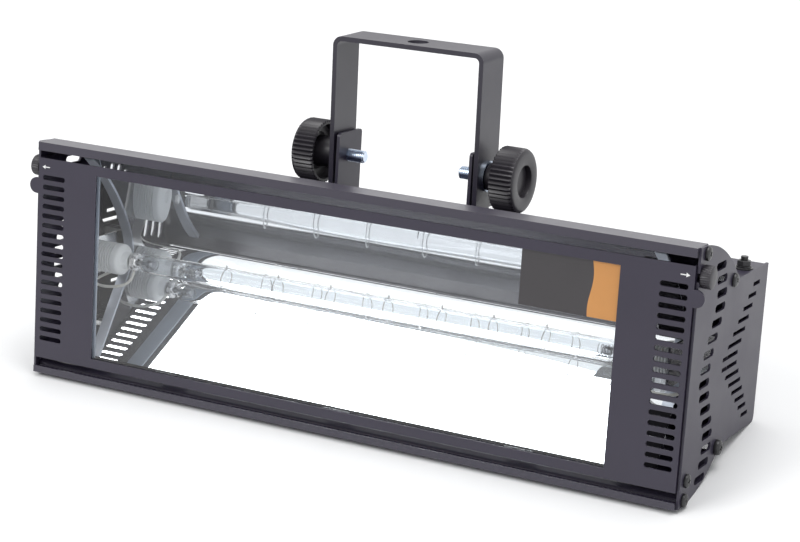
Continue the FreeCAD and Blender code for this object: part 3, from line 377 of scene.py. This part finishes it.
def at(x, y, z):
    return Matrix.Translation(Vector((x, y, z)) * MM)


def outward(sign):
    """Turns a piece made along Z to face the right end (1) or the left end (-1)."""
    return Matrix.Rotation(math.radians(90 * sign), 4, "Y")


def twist(degrees):
    return Matrix.Rotation(math.radians(degrees), 4, "Z")


def finish_piece(piece, name, finish, body, replaced=(), smooth=35):
    """Gives a piece its name, finish and body, and lays it on the leaning head."""
    piece.name = name
    piece.data.name = name
    piece.data.transform(STAND @ piece.matrix_world)
    piece.matrix_world = Matrix.Identity(4)
    pick(piece)
    bpy.ops.object.shade_smooth_by_angle(angle=math.radians(smooth))
    piece.data.materials.clear()
    piece.data.materials.append(finishes[finish])
    if replaced:
        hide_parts(*replaced)
    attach(piece, body)
    return piece


def join(pieces):
    deselect_all()
    for piece in pieces:
        piece.select_set(True)
    bpy.context.view_layer.objects.active = pieces[0]
    bpy.ops.object.join()
    return pieces[0]


def copy_to(piece, matrix):
    """A copy with its own mesh, moved by matrix."""
    twin = piece.copy()
    twin.data = piece.data.copy()
    bpy.context.collection.objects.link(twin)
    twin.data.transform(matrix)
    return twin


def drop(piece):
    mesh = piece.data
    bpy.data.objects.remove(piece)
    bpy.data.meshes.remove(mesh)


def spread(piece, places):
    """One piece made of copies at the given places."""
    copies = [copy_to(piece, place) for place in places]
    drop(piece)
    return join(copies)


def moved(piece, place):
    piece.data.transform(place)
    return piece


def edit(piece, mode="FACE"):
    pick(piece)
    bpy.ops.object.mode_set(mode="EDIT")
    bpy.ops.mesh.select_mode(type=mode)
    bpy.ops.mesh.select_all(action="SELECT")


def close_edit():
    """Turns all faces outwards and leaves edit mode."""
    bpy.ops.mesh.select_all(action="SELECT")
    bpy.ops.mesh.normals_make_consistent(inside=False)
    bpy.ops.object.mode_set(mode="OBJECT")


def applied(piece, kind, **settings):
    """Gives a piece a modifier with these settings, and applies it."""
    pick(piece)
    modifier = piece.modifiers.new(kind.title(), kind)
    for setting, value in settings.items():
        setattr(modifier, setting, value)
    bpy.ops.object.modifier_apply(modifier=modifier.name)
    return piece


def mirrored(piece):
    """Turns a piece made for the right side into the left one."""
    moved(piece, Matrix.Diagonal((-1, 1, 1, 1)))
    edit(piece)
    close_edit()
    return piece


def turned(steps, vertices=32, ring=False):
    """A form turned about Z: its first circle, at (radius, height), is extruded and scaled
    through the rest. A ring's last step comes back to its first."""
    deselect_all()
    radius, height = steps[0]
    bpy.ops.mesh.primitive_circle_add(vertices=vertices, radius=radius * MM,
                                      fill_type="NOTHING" if ring else "NGON",
                                      location=(0, 0, height * MM))
    piece = bpy.context.active_object
    bpy.ops.object.transform_apply(location=True, rotation=True, scale=True)
    edit(piece, "EDGE" if ring else "FACE")
    for next_radius, next_height in steps[1:]:
        bpy.ops.mesh.extrude_region_move(
            TRANSFORM_OT_translate={"value": (0, 0, (next_height - height) * MM)})
        share = next_radius / radius
        bpy.ops.transform.resize(value=(share, share, 1),
                                 center_override=(0, 0, next_height * MM))
        radius, height = next_radius, next_height
    if ring:
        bpy.ops.mesh.select_all(action="SELECT")
        bpy.ops.mesh.remove_doubles(threshold=SAME_PLACE)
    close_edit()
    return piece


def select_where(piece, chosen):
    """Selects the vertices whose place passes the test, in edit mode."""
    edit(piece, "VERT")
    bpy.ops.mesh.select_all(action="DESELECT")
    bpy.ops.object.mode_set(mode="OBJECT")
    for vertex in piece.data.vertices:
        vertex.select = chosen(vertex.co / MM)
    bpy.ops.object.mode_set(mode="EDIT")


def select_edges(piece, chosen):
    """Selects the edges whose two ends pass the test, in edit mode."""
    edit(piece, "EDGE")
    bpy.ops.mesh.select_all(action="DESELECT")
    bpy.ops.object.mode_set(mode="OBJECT")
    vertices = piece.data.vertices
    for edge in piece.data.edges:
        edge.select = chosen(*[vertices[end].co / MM for end in edge.vertices])
    bpy.ops.object.mode_set(mode="EDIT")


def groove(piece, ribs, depth, rim, low, high):
    """Draws in every fourth line of vertices of a rim, which leaves rounded ribs."""
    def phase(co):
        return round(math.atan2(co.y, co.x) / math.tau * ribs * 4) % 4

    def on_rim(co):
        return math.hypot(co.x, co.y) > rim and low < co.z < high

    for steps, share in (((2,), depth), ((1, 3), depth * 0.4)):
        select_where(piece, lambda co: on_rim(co) and phase(co) in steps)
        scale = 1 - share
        bpy.ops.transform.resize(value=(scale, scale, 1), center_override=(0, 0, 0))
        bpy.ops.object.mode_set(mode="OBJECT")
    return piece


def block(low, high, bevel=0.0):
    """A block from its lowest to its highest corner with softened edges."""
    deselect_all()
    middle = (Vector(low) + Vector(high)) / 2 * MM
    bpy.ops.mesh.primitive_cube_add(size=1, location=middle)
    piece = bpy.context.active_object
    piece.scale = (Vector(high) - Vector(low)) * MM
    bpy.ops.object.transform_apply(location=True, rotation=True, scale=True)
    if bevel:
        edit(piece, "EDGE")
        bpy.ops.mesh.bevel(offset=bevel * MM, segments=2)
        close_edit()
    return piece


def carve(piece, cutter, operation="DIFFERENCE"):
    """Takes the cutter's form out of the piece, or welds it on."""
    applied(piece, "BOOLEAN", operation=operation, solver="EXACT", object=cutter)
    drop(cutter)
    return piece


def cross_cutter(size, depth, top):
    """The tapered cross of a driver's tip, pointing down from top."""
    half = size / 2
    blades = []
    for angle in (0, 90):
        blade = block((-half, -half * 0.22, top - depth), (half, half * 0.22, top + 0.2))
        select_where(blade, lambda co: co.z < top - depth / 2)
        bpy.ops.transform.resize(value=(0.45, 0.45, 1), center_override=(0, 0, 0))
        bpy.ops.object.mode_set(mode="OBJECT")
        blades.append(moved(blade, twist(angle)))
    return carve(*blades, "UNION")


def pan_head(radius, height, shank, length):
    """A pan-head screw along Z with its seat at zero and a cross recess."""
    steps = [(shank, -length), (shank, 0), (radius * 0.96, 0), (radius, height * 0.12),
             (radius, height * 0.5), (radius * 0.93, height * 0.76),
             (radius * 0.74, height * 0.93), (radius * 0.45, height)]
    return carve(turned(steps, 28), cross_cutter(radius * 1.05, height * 0.55, height))


def climbed(piece, pitch, turns, steps):
    """Turns an open or closed outline about Z as it climbs one pitch each turn."""
    return applied(piece, "SCREW", axis="Z", angle=math.tau, screw_offset=pitch * MM,
                   iterations=turns, steps=steps, render_steps=steps)


def first_point(x, y, z):
    """Starts a drawn line with one vertex at this place, in edit mode."""
    deselect_all()
    bpy.ops.mesh.primitive_plane_add(size=MM, location=(0, 0, 0))
    line = bpy.context.active_object
    edit(line, "VERT")
    bpy.ops.mesh.merge(type="CENTER")
    bpy.ops.transform.translate(value=(x * MM, y * MM, z * MM))
    return line


def threaded(radius, root, pitch, start, end):
    """A threaded rod along Z, cut square at both ends."""
    turns = int((end - start) / pitch) + 3
    rod = first_point(root, 0, start - 1.5 * pitch)
    slope = radius - root
    for _ in range(turns):
        for along, rise in ((0.2, 0), (0.25, slope), (0.3, 0), (0.25, -slope)):
            bpy.ops.mesh.extrude_region_move(
                TRANSFORM_OT_translate={"value": (rise * MM, 0, along * pitch * MM)})
    bpy.ops.object.mode_set(mode="OBJECT")
    climbed(rod, pitch, 1, 28)
    edit(rod)
    bpy.ops.mesh.remove_doubles(threshold=SAME_PLACE)
    for height, way in ((start, -1), (end, 1)):
        bpy.ops.mesh.select_all(action="SELECT")
        bpy.ops.mesh.bisect(plane_co=(0, 0, height * MM), plane_no=(0, 0, way),
                            use_fill=True, threshold=SAME_PLACE_FINE, clear_outer=True)
    close_edit()
    return rod


def coil(radius, wire, pitch, turns):
    """A helix of round wire about Z, starting at zero."""
    deselect_all()
    bpy.ops.mesh.primitive_circle_add(vertices=8, radius=wire * MM, fill_type="NOTHING",
                                      location=(radius * MM, 0, 0),
                                      rotation=(math.pi / 2, 0, 0))
    spring = bpy.context.active_object
    bpy.ops.object.transform_apply(location=True, rotation=True, scale=True)
    climbed(spring, pitch, turns, 32)
    edit(spring, "EDGE")
    bpy.ops.mesh.remove_doubles(threshold=SAME_PLACE_FINE)
    bpy.ops.mesh.select_all(action="SELECT")
    bpy.ops.mesh.region_to_loop()
    bpy.ops.mesh.edge_face_add()
    close_edit()
    return spring


def wire_along(points, radius):
    """A round wire whose smooth line is drawn by the points."""
    curve = bpy.data.curves.new("wire", "CURVE")
    curve.dimensions = "3D"
    curve.bevel_depth = radius * MM
    curve.bevel_resolution = 3
    curve.resolution_u = 6
    curve.use_fill_caps = True
    spline = curve.splines.new("NURBS")
    spline.points.add(len(points) - 1)
    for point, place in zip(spline.points, points):
        point.co = (*(Vector(place) * MM), 1)
    spline.order_u = 4
    spline.use_endpoint_u = True
    wire = bpy.data.objects.new("wire", curve)
    bpy.context.collection.objects.link(wire)
    pick(wire)
    bpy.ops.object.convert(target="MESH")
    edit(wire)
    bpy.ops.mesh.remove_doubles(threshold=SAME_PLACE_FINE)
    close_edit()
    return wire


# Screws, nuts and washers

RIGHT, LEFT = 1, -1
SIDES = (("left", LEFT), ("right", RIGHT))
PLATE_FACE = 220.0
BOX_TOP, TAB_FOOT_TOP = 119.6, 121.6
COVER_BACK, INLET_FACE = 122.1, 124.5
LATCH_NUT_FACE = 216.88
TAB_FACE, YOKE_FACE = 46.5, 51.1
SEAT = 0.05  # how far a head or washer is sunk into what it is screwed to
EARTH = (213.0, 98.0)  # across and back
# Places on the side view, as (back, up)
END_SCREWS = ((12.0, 144.4), (9.5, 3.9), (62.0, 120.6))
LARGE_SCREW = (57.5, 22.8)
HINGE = (11.0, 15.0)
LATCH = (8.8, 132.3)
PIVOT = (86.3, 153.0)
LAMP = (38.0, 73.0)

places = []
for number, place in enumerate(END_SCREWS):
    for sign in (LEFT, RIGHT):
        places.append(at(sign * (PLATE_FACE - SEAT), *place) @ outward(sign)
                      @ twist(31 + 47 * number))
finish_piece(spread(pan_head(4.0, 2.2, 1.6, 1.0), places), "side_screws", "black_oxide",
             "housing")
places = [at(sign * (PLATE_FACE - SEAT), *LARGE_SCREW) @ outward(sign) @ twist(20)
          for sign in (LEFT, RIGHT)]
finish_piece(spread(pan_head(4.6, 3.4, 2.0, 1.0), places), "large_screws", "black_oxide",
             "housing")
places = [at(sign * PLATE_FACE, *HINGE) @ outward(sign) @ twist(8)
          for sign in (LEFT, RIGHT)]
finish_piece(spread(pan_head(4.0, 2.2, 1.5, 3.0), places), "hinge_screw_heads",
             "black_oxide", "housing", ("hinge_screws",))
places = [at(sign * 32.5, back, TAB_FOOT_TOP - SEAT) @ twist(back)
          for sign in (LEFT, RIGHT) for back in (80.0, 94.5)]
finish_piece(spread(pan_head(3.6, 2.0, 1.6, 0.8), places), "tab_screws", "black_oxide",
             "housing")
earth = join([turned([(5.6, 0), (5.6, 0.9), (5.4, 1.0)], 32),
              turned([(4.3, 1.0), (4.3, 2.0), (4.1, 2.1)], 32),
              moved(turned([(3.9, 2.1), (4.3, 2.4), (4.3, 4.9), (3.9, 5.2)], 6), twist(12)),
              threaded(2.3, 1.9, 0.8, 5.0, 7.6)])
finish_piece(moved(earth, at(*EARTH, BOX_TOP - SEAT)), "earth_stud", "black_oxide",
             "housing", smooth=25)

nut = turned([(2.08, 0.0), (3.9, 0.0), (4.2, 0.3), (4.2, 2.7), (3.9, 3.0), (2.08, 3.0),
              (2.08, 0.0)], 36, ring=True)
places = [at(sign * LATCH_NUT_FACE, *LATCH) @ outward(-sign) for sign in (LEFT, RIGHT)]
finish_piece(spread(nut, places), "latch_nuts", "zinc_plate", "door")


def washer(outer, thickness):
    return turned([(4.1, 0), (outer, 0), (outer, thickness), (4.1, thickness), (4.1, 0)],
                  48, ring=True)


places = [at(sign * TAB_FACE, *PIVOT) @ outward(sign) for sign in (LEFT, RIGHT)]
finish_piece(spread(washer(11.0, 1.6), places), "friction_washers", "fibre_washer",
             "housing")
places = [at(sign * YOKE_FACE, *PIVOT) @ outward(sign) for sign in (LEFT, RIGHT)]
finish_piece(spread(washer(9.5, 1.4), places), "clamp_washers", "zinc_plate", "yoke")

# Yoke tabs: an upright with rounded corners on a foot

TAB_CORNER = 2.4


def tab(sign):
    upright = block((44.5, 73.0, BOX_TOP), (TAB_FACE, 101.5, 168.0))
    select_edges(upright, lambda a, b: min(a.z, b.z) > 167.9 and abs(a.y - b.y) < 0.1)
    bpy.ops.mesh.bevel(offset=TAB_CORNER * MM, segments=5)
    close_edit()
    foot = block((20.5, 73.0, BOX_TOP), (45.0, 101.5, TAB_FOOT_TOP))
    select_edges(foot, lambda a, b: max(a.x, b.x) < 20.6 and abs(a.z - b.z) > 1)
    bpy.ops.mesh.bevel(offset=TAB_CORNER * MM, segments=5)
    close_edit()
    bore = moved(turned([(4.08, 40.0), (4.08, 50.0)], 32), at(0, *PIVOT) @ outward(RIGHT))
    bored = carve(carve(upright, foot, "UNION"), bore)
    return mirrored(bored) if sign == LEFT else bored


for side, sign in SIDES:
    finish_piece(tab(sign), f"rounded_yoke_tab_{side}", "housing_coat", "housing",
                 (f"yoke_tab_{side}",), smooth=30)

# Clamp knobs: a finely ribbed rim, a bevelled face with a round recess, and a hub in the
# hollow back

KNOB_RIBS = 44
knob = turned([(4.05, 58.2), (4.05, 52.6), (7.6, 52.6), (8.6, 53.4), (10.0, 66.0),
               (12.0, 67.0), (16.8, 66.6), (17.4, 65.0), (17.4, 60.6), (19.3, 60.5),
               (20.0, 61.2), (20.0, 73.0), (19.7, 74.0), (18.9, 75.2), (17.9, 75.8),
               (16.6, 76.0), (10.6, 76.0), (10.0, 75.7), (9.8, 75.2), (9.6, 72.4)],
              4 * KNOB_RIBS)
groove(knob, KNOB_RIBS, 0.062, 19.2, 60.4, 74.5)
for side, sign in SIDES:
    finish_piece(copy_to(knob, at(0, *PIVOT) @ outward(sign)), f"ribbed_clamp_knob_{side}",
                 "moulded_knob", f"knob_{side}", (f"clamp_knob_{side}",), smooth=28)
drop(knob)

stud = join([threaded(4.0, 3.35, 1.25, 33.6, 50.0),
             turned([(3.0, 33.0), (3.5, 33.6)], 28),
             turned([(4.0, 50.0), (4.0, 58.1)], 28)])
for side, sign in SIDES:
    finish_piece(copy_to(stud, at(0, *PIVOT) @ outward(sign)), f"threaded_stud_{side}",
                 "zinc_plate", f"knob_{side}", (f"clamp_stud_{side}",), smooth=25)
drop(stud)

# Thumbscrews of the door

GRIP_RIBS = 30
grip = turned([(2.0, 216.9), (2.0, 220.1), (6.1, 220.1), (6.6, 220.5), (6.6, 225.1),
               (6.3, 225.7), (5.6, 226.1), (1.2, 226.1)], 4 * GRIP_RIBS)
groove(grip, GRIP_RIBS, 0.06, 6.2, 220.3, 225.4)
for side, sign in SIDES:
    finish_piece(copy_to(grip, at(0, *LATCH) @ outward(sign)), f"ribbed_thumbscrew_{side}",
                 "moulded_knob", f"thumb_{side}", (f"thumbscrew_{side}",))
drop(grip)

# Wall behind the lamp, open at both ends to the side vents

wall = block((-218.5, 67.0, 28.5), (218.5, 68.2, 114.0))
for sign in (LEFT, RIGHT):
    for low, high in ((31.5, 60.0), (87.0, 111.0)):
        ends = sorted((sign * 198.5, sign * 216.0))
        opening = block((ends[0], 66.0, low), (ends[1], 69.2, high))
        select_edges(opening, lambda a, b: abs(a.y - b.y) > 1)
        bpy.ops.mesh.bevel(offset=2.0 * MM, segments=3)
        close_edit()
        carve(wall, opening)
finish_piece(wall, "open_partition", "housing_coat", "housing", ("partition",))

# Silicone seals that hold the two ends of the glass to the door

def seal(sign):
    over = block((175.2, 5.0, 15.0), (187.0, 6.4, 133.4), 0.5)
    beside = block((178.5, 1.8, 15.0), (187.0, 6.0, 133.4), 0.3)
    strip = carve(over, beside, "UNION")
    return mirrored(strip) if sign == LEFT else strip


finish_piece(join([seal(sign) for _, sign in SIDES]), "glass_seals", "clear_seal", "door")

# Reflector: a flat lower wing, a tight apex, a gently curved upper wing and a flat edge
# that turns a little down its length

def arc(back, up, radius, start, end, steps):
    angles = [math.radians(start + (end - start) * step / steps) for step in range(steps + 1)]
    return [(back + radius * math.cos(angle), up + radius * math.sin(angle))
            for angle in angles]


def down_wing(foot, run):
    """The point a run down the lower wing from its foot at the apex."""
    return (foot[0] - run * math.sin(LOWER_ANGLE), foot[1] - run * math.cos(LOWER_ANGLE))


def rolled(section, start, columns, step):
    """Draws a line of (back, up) points at start, and carries it along the head."""
    sheet = first_point(start, *section[0])
    for (y, z), (next_y, next_z) in zip(section, section[1:]):
        bpy.ops.mesh.extrude_region_move(
            TRANSFORM_OT_translate={"value": (0, (next_y - y) * MM, (next_z - z) * MM)})
    bpy.ops.mesh.select_all(action="SELECT")
    for _ in range(columns):
        bpy.ops.mesh.extrude_region_move(TRANSFORM_OT_translate={"value": (step * MM, 0, 0)})
    bpy.ops.object.mode_set(mode="OBJECT")
    return sheet


def thickened(sheet):
    """Gives a drawn sheet its thickness, on the side away from the lamp."""
    applied(sheet, "SOLIDIFY", thickness=SHEET * MM, offset=1.0)
    edit(sheet)
    close_edit()
    return sheet


SHEET = 0.8
HALF_LENGTH, COLUMNS = 195.0, 13
APEX_AT, APEX_RADIUS = (36.4, 73.2), 27.3
UPPER_AT, UPPER_RADIUS = (-72.17, 22.8), 147.0
APEX_START, APEX_END, UPPER_END = -31.4, 24.9, 48.8
LOWER_ANGLE, EDGE_ANGLE = math.radians(-APEX_START), math.radians(37.3)
EDGE_DRIFT = (0, -0.0000267, -0.0000224)  # of the flat edge, from one column to the next
apex = arc(*APEX_AT, APEX_RADIUS, APEX_START, APEX_END, 22)
upper = arc(*UPPER_AT, UPPER_RADIUS, APEX_END, UPPER_END, 26)
bend = upper[-1]
section = [down_wing(apex[0], 59.0), *apex, *upper[1:]]
section += [(bend[0] - run * math.sin(EDGE_ANGLE), bend[1] + run * math.cos(EDGE_ANGLE))
            for run in (0.4, 7.4)]
column_step = 2 * HALF_LENGTH / COLUMNS
trough = rolled(section, -HALF_LENGTH, COLUMNS, column_step)
for column in range(COLUMNS + 1):
    place = -HALF_LENGTH + column_step * column
    select_where(trough, lambda co: abs(co.x - place) < 1 and co.z > section[-1][1] - 0.1)
    bpy.ops.transform.translate(value=[drift * column for drift in EDGE_DRIFT])
    bpy.ops.object.mode_set(mode="OBJECT")
finish_piece(thickened(trough), "rolled_reflector", "bright_reflector", "housing",
             ("reflector",))

# Two strips of painted shade: a near-black sheet over the right rib, above and below the
# lamp's opening, that darkens the end of the reflector seen through the door's slots

PROUD = 1.65  # of the reflecting face
STRIP_START, STRIP_COLUMNS, STRIP_STEP = 178.8, 4, 4.1
OPENING_TOP = 17.7  # degrees up the apex
near_foot = arc(*APEX_AT, APEX_RADIUS - PROUD, APEX_START, 0.0, 1)[0]
lines = [[down_wing(near_foot, run) for run in (58.5, 40.0, 21.0)],
         arc(*APEX_AT, APEX_RADIUS - PROUD, OPENING_TOP, APEX_END, 4)
         + arc(*UPPER_AT, UPPER_RADIUS - PROUD, APEX_END, UPPER_END, 16)[1:]]
strips = [thickened(rolled(line, STRIP_START, STRIP_COLUMNS, STRIP_STEP)) for line in lines]
finish_piece(join(strips), "reflector_end_shade_strips", "painted_shade_black", "housing")

# Flash tube: necked ends, an exhaust tip, electrodes and the trigger wire

tube = turned([(2.5, -166.0), (3.4, -165.6), (5.0, -163.4), (5.8, -160.6), (6.0, -157.0),
               (6.0, 157.0), (5.8, 160.6), (5.0, 163.4), (3.4, 165.6), (2.5, 166.0),
               (2.5, 163.6), (3.6, 162.4), (4.6, 160.2), (5.0, 157.0), (5.0, -157.0),
               (4.6, -160.2), (3.6, -162.4), (2.5, -163.6), (2.5, -166.0)], 48, ring=True)
tip = turned([(2.2, 5.7), (1.5, 6.6), (1.1, 7.6), (0.9, 8.8), (0.35, 9.8)], 20)
moved(tip, at(12.0, *LAMP) @ Matrix.Rotation(math.radians(-25), 4, "X"))
tube = join([moved(tube, at(0, *LAMP) @ outward(RIGHT)), tip])
finish_piece(tube, "necked_flash_tube", "quartz", "housing", ("flash_tube",), smooth=50)

rods = [moved(turned([(0.9, 0), (0.9, 6.0), (2.2, 6.4), (2.5, 7.2), (2.5, 11.0), (2.0, 12.0),
                      (0.8, 12.2)], 24), at(0, *LAMP) @ outward(-sign)
              @ at(0, 0, -166.0)) for sign in (LEFT, RIGHT)]
coils = [moved(coil(3.1, 0.25, 2.0, 4), at(0, *LAMP) @ outward(-sign)
               @ at(0, 0, -159.5)) for sign in (LEFT, RIGHT)]
finish_piece(join(rods + coils), "wound_electrodes", "tungsten", "housing", ("electrodes",))

caps = [moved(turned([(2.4, 165.9), (4.2, 166.2), (5.0, 167.0), (5.0, 170.4), (4.2, 171.2),
                      (3.2, 172.05)], 32), at(0, *LAMP) @ outward(sign))
        for sign in (LEFT, RIGHT)]
bands = [moved(coil(5.3, 0.4, 0.95, 3), at(sign * 167.0, *LAMP) @ outward(sign))
         for sign in (LEFT, RIGHT)]
finish_piece(join(caps + bands), "wrapped_terminals", "bright_steel", "housing",
             ("lamp_terminals",))

RING_PLACES = (-100.5, -63.0, -26.0, 14.0, 50.0, 84.0, 118.0)
RING_RADIUS, RING_LEAN, WIRE = 6.75, 5, 0.28
WIRE_UP, KNOT_UP, WIRE_ENDS_UP = 6.5, 7.0, 6.4  # above the lamp's middle
WIRE_SWAY, BEFORE_RING = 0.8, 17.0
rings = []
for number, place in enumerate(RING_PLACES):
    deselect_all()
    bpy.ops.mesh.primitive_torus_add(major_segments=40, minor_segments=8,
                                     major_radius=RING_RADIUS * MM, minor_radius=WIRE * MM)
    ring = bpy.context.active_object
    lean = Matrix.Rotation(math.radians((-1) ** number * RING_LEAN), 4, "Y")
    rings.append(moved(ring, at(place, *LAMP) @ lean @ outward(RIGHT)))
    knot = turned([(0.25, 6.4), (0.55, 6.9), (0.55, 8.2), (0.2, 8.8)], 10)
    rings.append(moved(knot, at(place, *LAMP)))
back, up = LAMP
line = [(-163.0, back, up + WIRE_ENDS_UP)]
for number, place in enumerate(RING_PLACES):
    line += [(place - BEFORE_RING, back + (-1) ** number * WIRE_SWAY, up + WIRE_UP),
             (place, back, up + KNOT_UP)]
line.append((150.0, back, up + WIRE_ENDS_UP))
rings.append(wire_along(line, WIRE))
finish_piece(join(rings), "ringed_trigger_wire", "nickel_wire", "housing",
             ("trigger_wire",))

# Insulators with fine ribs and a rounded end, and the sleeved leads below them

profile = [(8.4, 198.0), (9.4, 197.6)]
RIB_COUNT, RIB_PITCH, RIB_TOP, RIB_ROOT = 8, 1.9, 10.0, 7.2
for number in range(RIB_COUNT):
    crest = 197.2 - number * RIB_PITCH
    profile += [(RIB_TOP, crest), (RIB_TOP, crest - RIB_PITCH * 0.3),
                (RIB_ROOT, crest - RIB_PITCH * 0.42), (RIB_ROOT, crest - RIB_PITCH * 0.88)]
profile += [(RIB_TOP, 182.0), (RIB_TOP, 178.8), (9.6, 177.7), (8.8, 177.0), (5.8, 176.6),
            (5.4, 176.0), (5.4, 172.6), (5.0, 172.0), (4.0, 172.0), (3.6, 173.0)]
insulator = turned(profile, 48)
places = [at(0, *LAMP) @ outward(sign) for sign in (LEFT, RIGHT)]
finish_piece(spread(insulator, places), "ribbed_insulators", "white_ceramic", "housing",
             ("insulators",), smooth=40)

LEAD_RADIUS = 0.95
ROUTE = ((203.0, 74.0, 57.0), (203.0, 62.0, 57.0), (203.0, 46.0, 56.0), (201.0, 37.0, 54.5),
         (190.0, 35.0, 53.5), (177.0, 35.5, 56.0), (170.6, 36.5, 60.0), (169.4, 37.6, 65.0),
         (169.4, 38.0, 68.6))
leads = [wire_along([(sign * x, y, z) for x, y, z in ROUTE], LEAD_RADIUS)
         for sign in (LEFT, RIGHT)]
finish_piece(join(leads), "sleeved_leads", "silicone_sleeve", "housing", ("lamp_leads",))

# Rear controls: ribbed dials with a pointer and a scale, the slotted fuse cap, and screws

BACKWARD = Matrix.Rotation(math.radians(-90), 4, "X")
CONTROL_UP = 62.0
DIAL_RIBS = 24
dial = turned([(2.5, 113.2), (2.5, 126.5), (8.6, 126.5), (9.0, 126.9), (9.0, 136.9),
               (8.6, 137.7), (7.8, 138.1), (1.5, 138.1)], 4 * DIAL_RIBS)
groove(dial, DIAL_RIBS, 0.07, 8.7, 126.7, 137.3)
pointer = block((-0.5, -7.6, 138.05), (0.5, -1.5, 138.15))
tick = block((-0.35, -13.4, 122.05), (0.35, -11.2, 122.2))
scale = spread(tick, [twist(-135 + 27 * step) for step in range(11)])
for body, place in (("rate", 25.0), ("level", -25.0)):
    seat = at(place, 0, CONTROL_UP) @ BACKWARD
    finish_piece(copy_to(dial, seat), f"ribbed_{body}_dial", "moulded_knob", body,
                 (f"{body}_knob",))
    finish_piece(copy_to(pointer, seat), f"{body}_pointer", "white_print", body)
    finish_piece(copy_to(scale, seat), f"{body}_scale", "white_print", "housing")
for made in (dial, pointer, scale):
    drop(made)

cap = turned([(4.1, 105.2), (4.1, 125.3), (6.4, 125.3), (6.8, 125.7), (6.8, 130.3),
              (6.5, 131.0), (5.8, 131.3)], 40)
carve(cap, block((-7.5, -0.7, 129.8), (7.5, 0.7, 132.0)))
finish_piece(moved(cap, at(120.0, 0, CONTROL_UP) @ BACKWARD), "slotted_fuse_cap",
             "socket_plastic", "fuse_cap", ("fuse_cap",))

places = [at(x, COVER_BACK - SEAT, z) @ BACKWARD @ twist(x + z)
          for x in (-210.0, 0.0, 210.0) for z in (28.5, 113.5)]
places += [at(x, INLET_FACE - SEAT, CONTROL_UP) @ BACKWARD @ twist(x) for x in (145.0, 185.0)]
finish_piece(spread(pan_head(2.9, 1.6, 1.2, 0.8), places), "cover_screws", "black_oxide",
             "housing")

# Printed marks: a plain two-colour decal on the glass and an arrow to each thumbscrew

decal = block((114.8, 1.85, 100.3), (174.5, 1.98, 132.5))
finish_piece(decal, "plain_decal", "two_colour_decal", "door")

arrows = []
for sign in (LEFT, RIGHT):
    shaft = block((209.8, 0.52, 133.15), (213.4, 0.62, 133.75))
    deselect_all()
    bpy.ops.mesh.primitive_circle_add(vertices=3, radius=1.5 * MM, fill_type="NGON")
    head = bpy.context.active_object
    edit(head)
    bpy.ops.mesh.extrude_region_move(TRANSFORM_OT_translate={"value": (0, 0, 0.1 * MM)})
    close_edit()
    upright = Matrix.Rotation(math.pi / 2, 4, "X") @ twist(-90)
    moved(head, at(213.9, 0.62, 133.45) @ upright)
    arrow = join([shaft, head])
    arrows.append(mirrored(arrow) if sign == LEFT else arrow)
finish_piece(join(arrows), "printed_arrows", "white_print", "door")

# Table, light and camera

deselect_all()
bpy.ops.mesh.primitive_plane_add(size=1, location=(0, 0, 0))
table = bpy.context.active_object
table.name = "pale_table"
table.scale = (12, 12, 1)
bpy.ops.object.transform_apply(location=True, rotation=True, scale=True)
table_finish, nodes, link, shader = new_finish("Pale table")
shader.inputs["Base Color"].default_value = (0.93, 0.93, 0.93, 1)
shader.inputs["Roughness"].default_value = 0.6
shader.inputs["Specular IOR Level"].default_value = 0.2
table.data.materials.append(table_finish)

world = bpy.data.worlds.new("Studio")
bpy.context.scene.world = world
world.use_nodes = True
nodes, link = world.node_tree.nodes, world.node_tree.links.new
seen = nodes["Background"]
seen.inputs["Color"].default_value = (1, 1, 1, 1)
seen.inputs["Strength"].default_value = 1.0
lighting = new_node(nodes, "Background", Color=(0.96, 0.98, 1.0, 1), Strength=0.55)
path = new_node(nodes, "LightPath")
seen_too = new_node(nodes, "Math", "MAXIMUM")
shown = new_node(nodes, "Math", "MAXIMUM")
mix = new_node(nodes, "MixShader")
link(path.outputs["Is Camera Ray"], seen_too.inputs[0])
link(path.outputs["Is Glossy Ray"], seen_too.inputs[1])
link(seen_too.outputs["Value"], shown.inputs[0])
link(path.outputs["Is Transmission Ray"], shown.inputs[1])
link(shown.outputs["Value"], mix.inputs["Fac"])
link(lighting.outputs["Background"], mix.inputs[1])
link(seen.outputs["Background"], mix.inputs[2])
link(mix.outputs["Shader"], nodes["World Output"].inputs["Surface"])


HEAD_MIDDLE = (0, 0, 0.1)


def soft_box(name, place, size, power):
    """A rectangular lamp that faces the head."""
    deselect_all()
    bpy.ops.object.light_add(type="AREA", location=place)
    lamp = bpy.context.active_object
    lamp.name = name
    lamp.data.shape = "RECTANGLE"
    lamp.data.size, lamp.data.size_y = size
    lamp.data.energy = power
    aim = Vector(HEAD_MIDDLE) - Vector(place)
    lamp.rotation_euler = aim.to_track_quat("-Z", "Y").to_euler()


soft_box("key_box", (-1.28, -1.5, 1.9), (1.4, 1.0), 28)
soft_box("top_box", (0.3, 0.5, 2.2), (2.0, 1.2), 32)
soft_box("fill_box", (2.2, -0.8, 1.2), (1.0, 1.2), 5)

# The camera's place and its three directions, on the head's axes
CAMERA_AT = (0.6090, -1.1183, 0.4003)
TO_RIGHT, UPWARDS = (0.8832, 0.4652, 0.0598), (-0.1576, 0.1742, 0.9720)
AWAY = (0.4417, -0.8679, 0.2271)
bpy.ops.object.camera_add()
camera = bpy.context.active_object
camera.name = "camera"
aim = Matrix((TO_RIGHT, UPWARDS, AWAY)).transposed().to_4x4()
camera.matrix_world = STAND @ Matrix.Translation(CAMERA_AT) @ aim
camera.data.sensor_width = 36.0
camera.data.lens = 100.4
camera.data.clip_start = 0.05
bpy.context.scene.camera = camera
bpy.context.scene.view_settings.view_transform = "Standard"
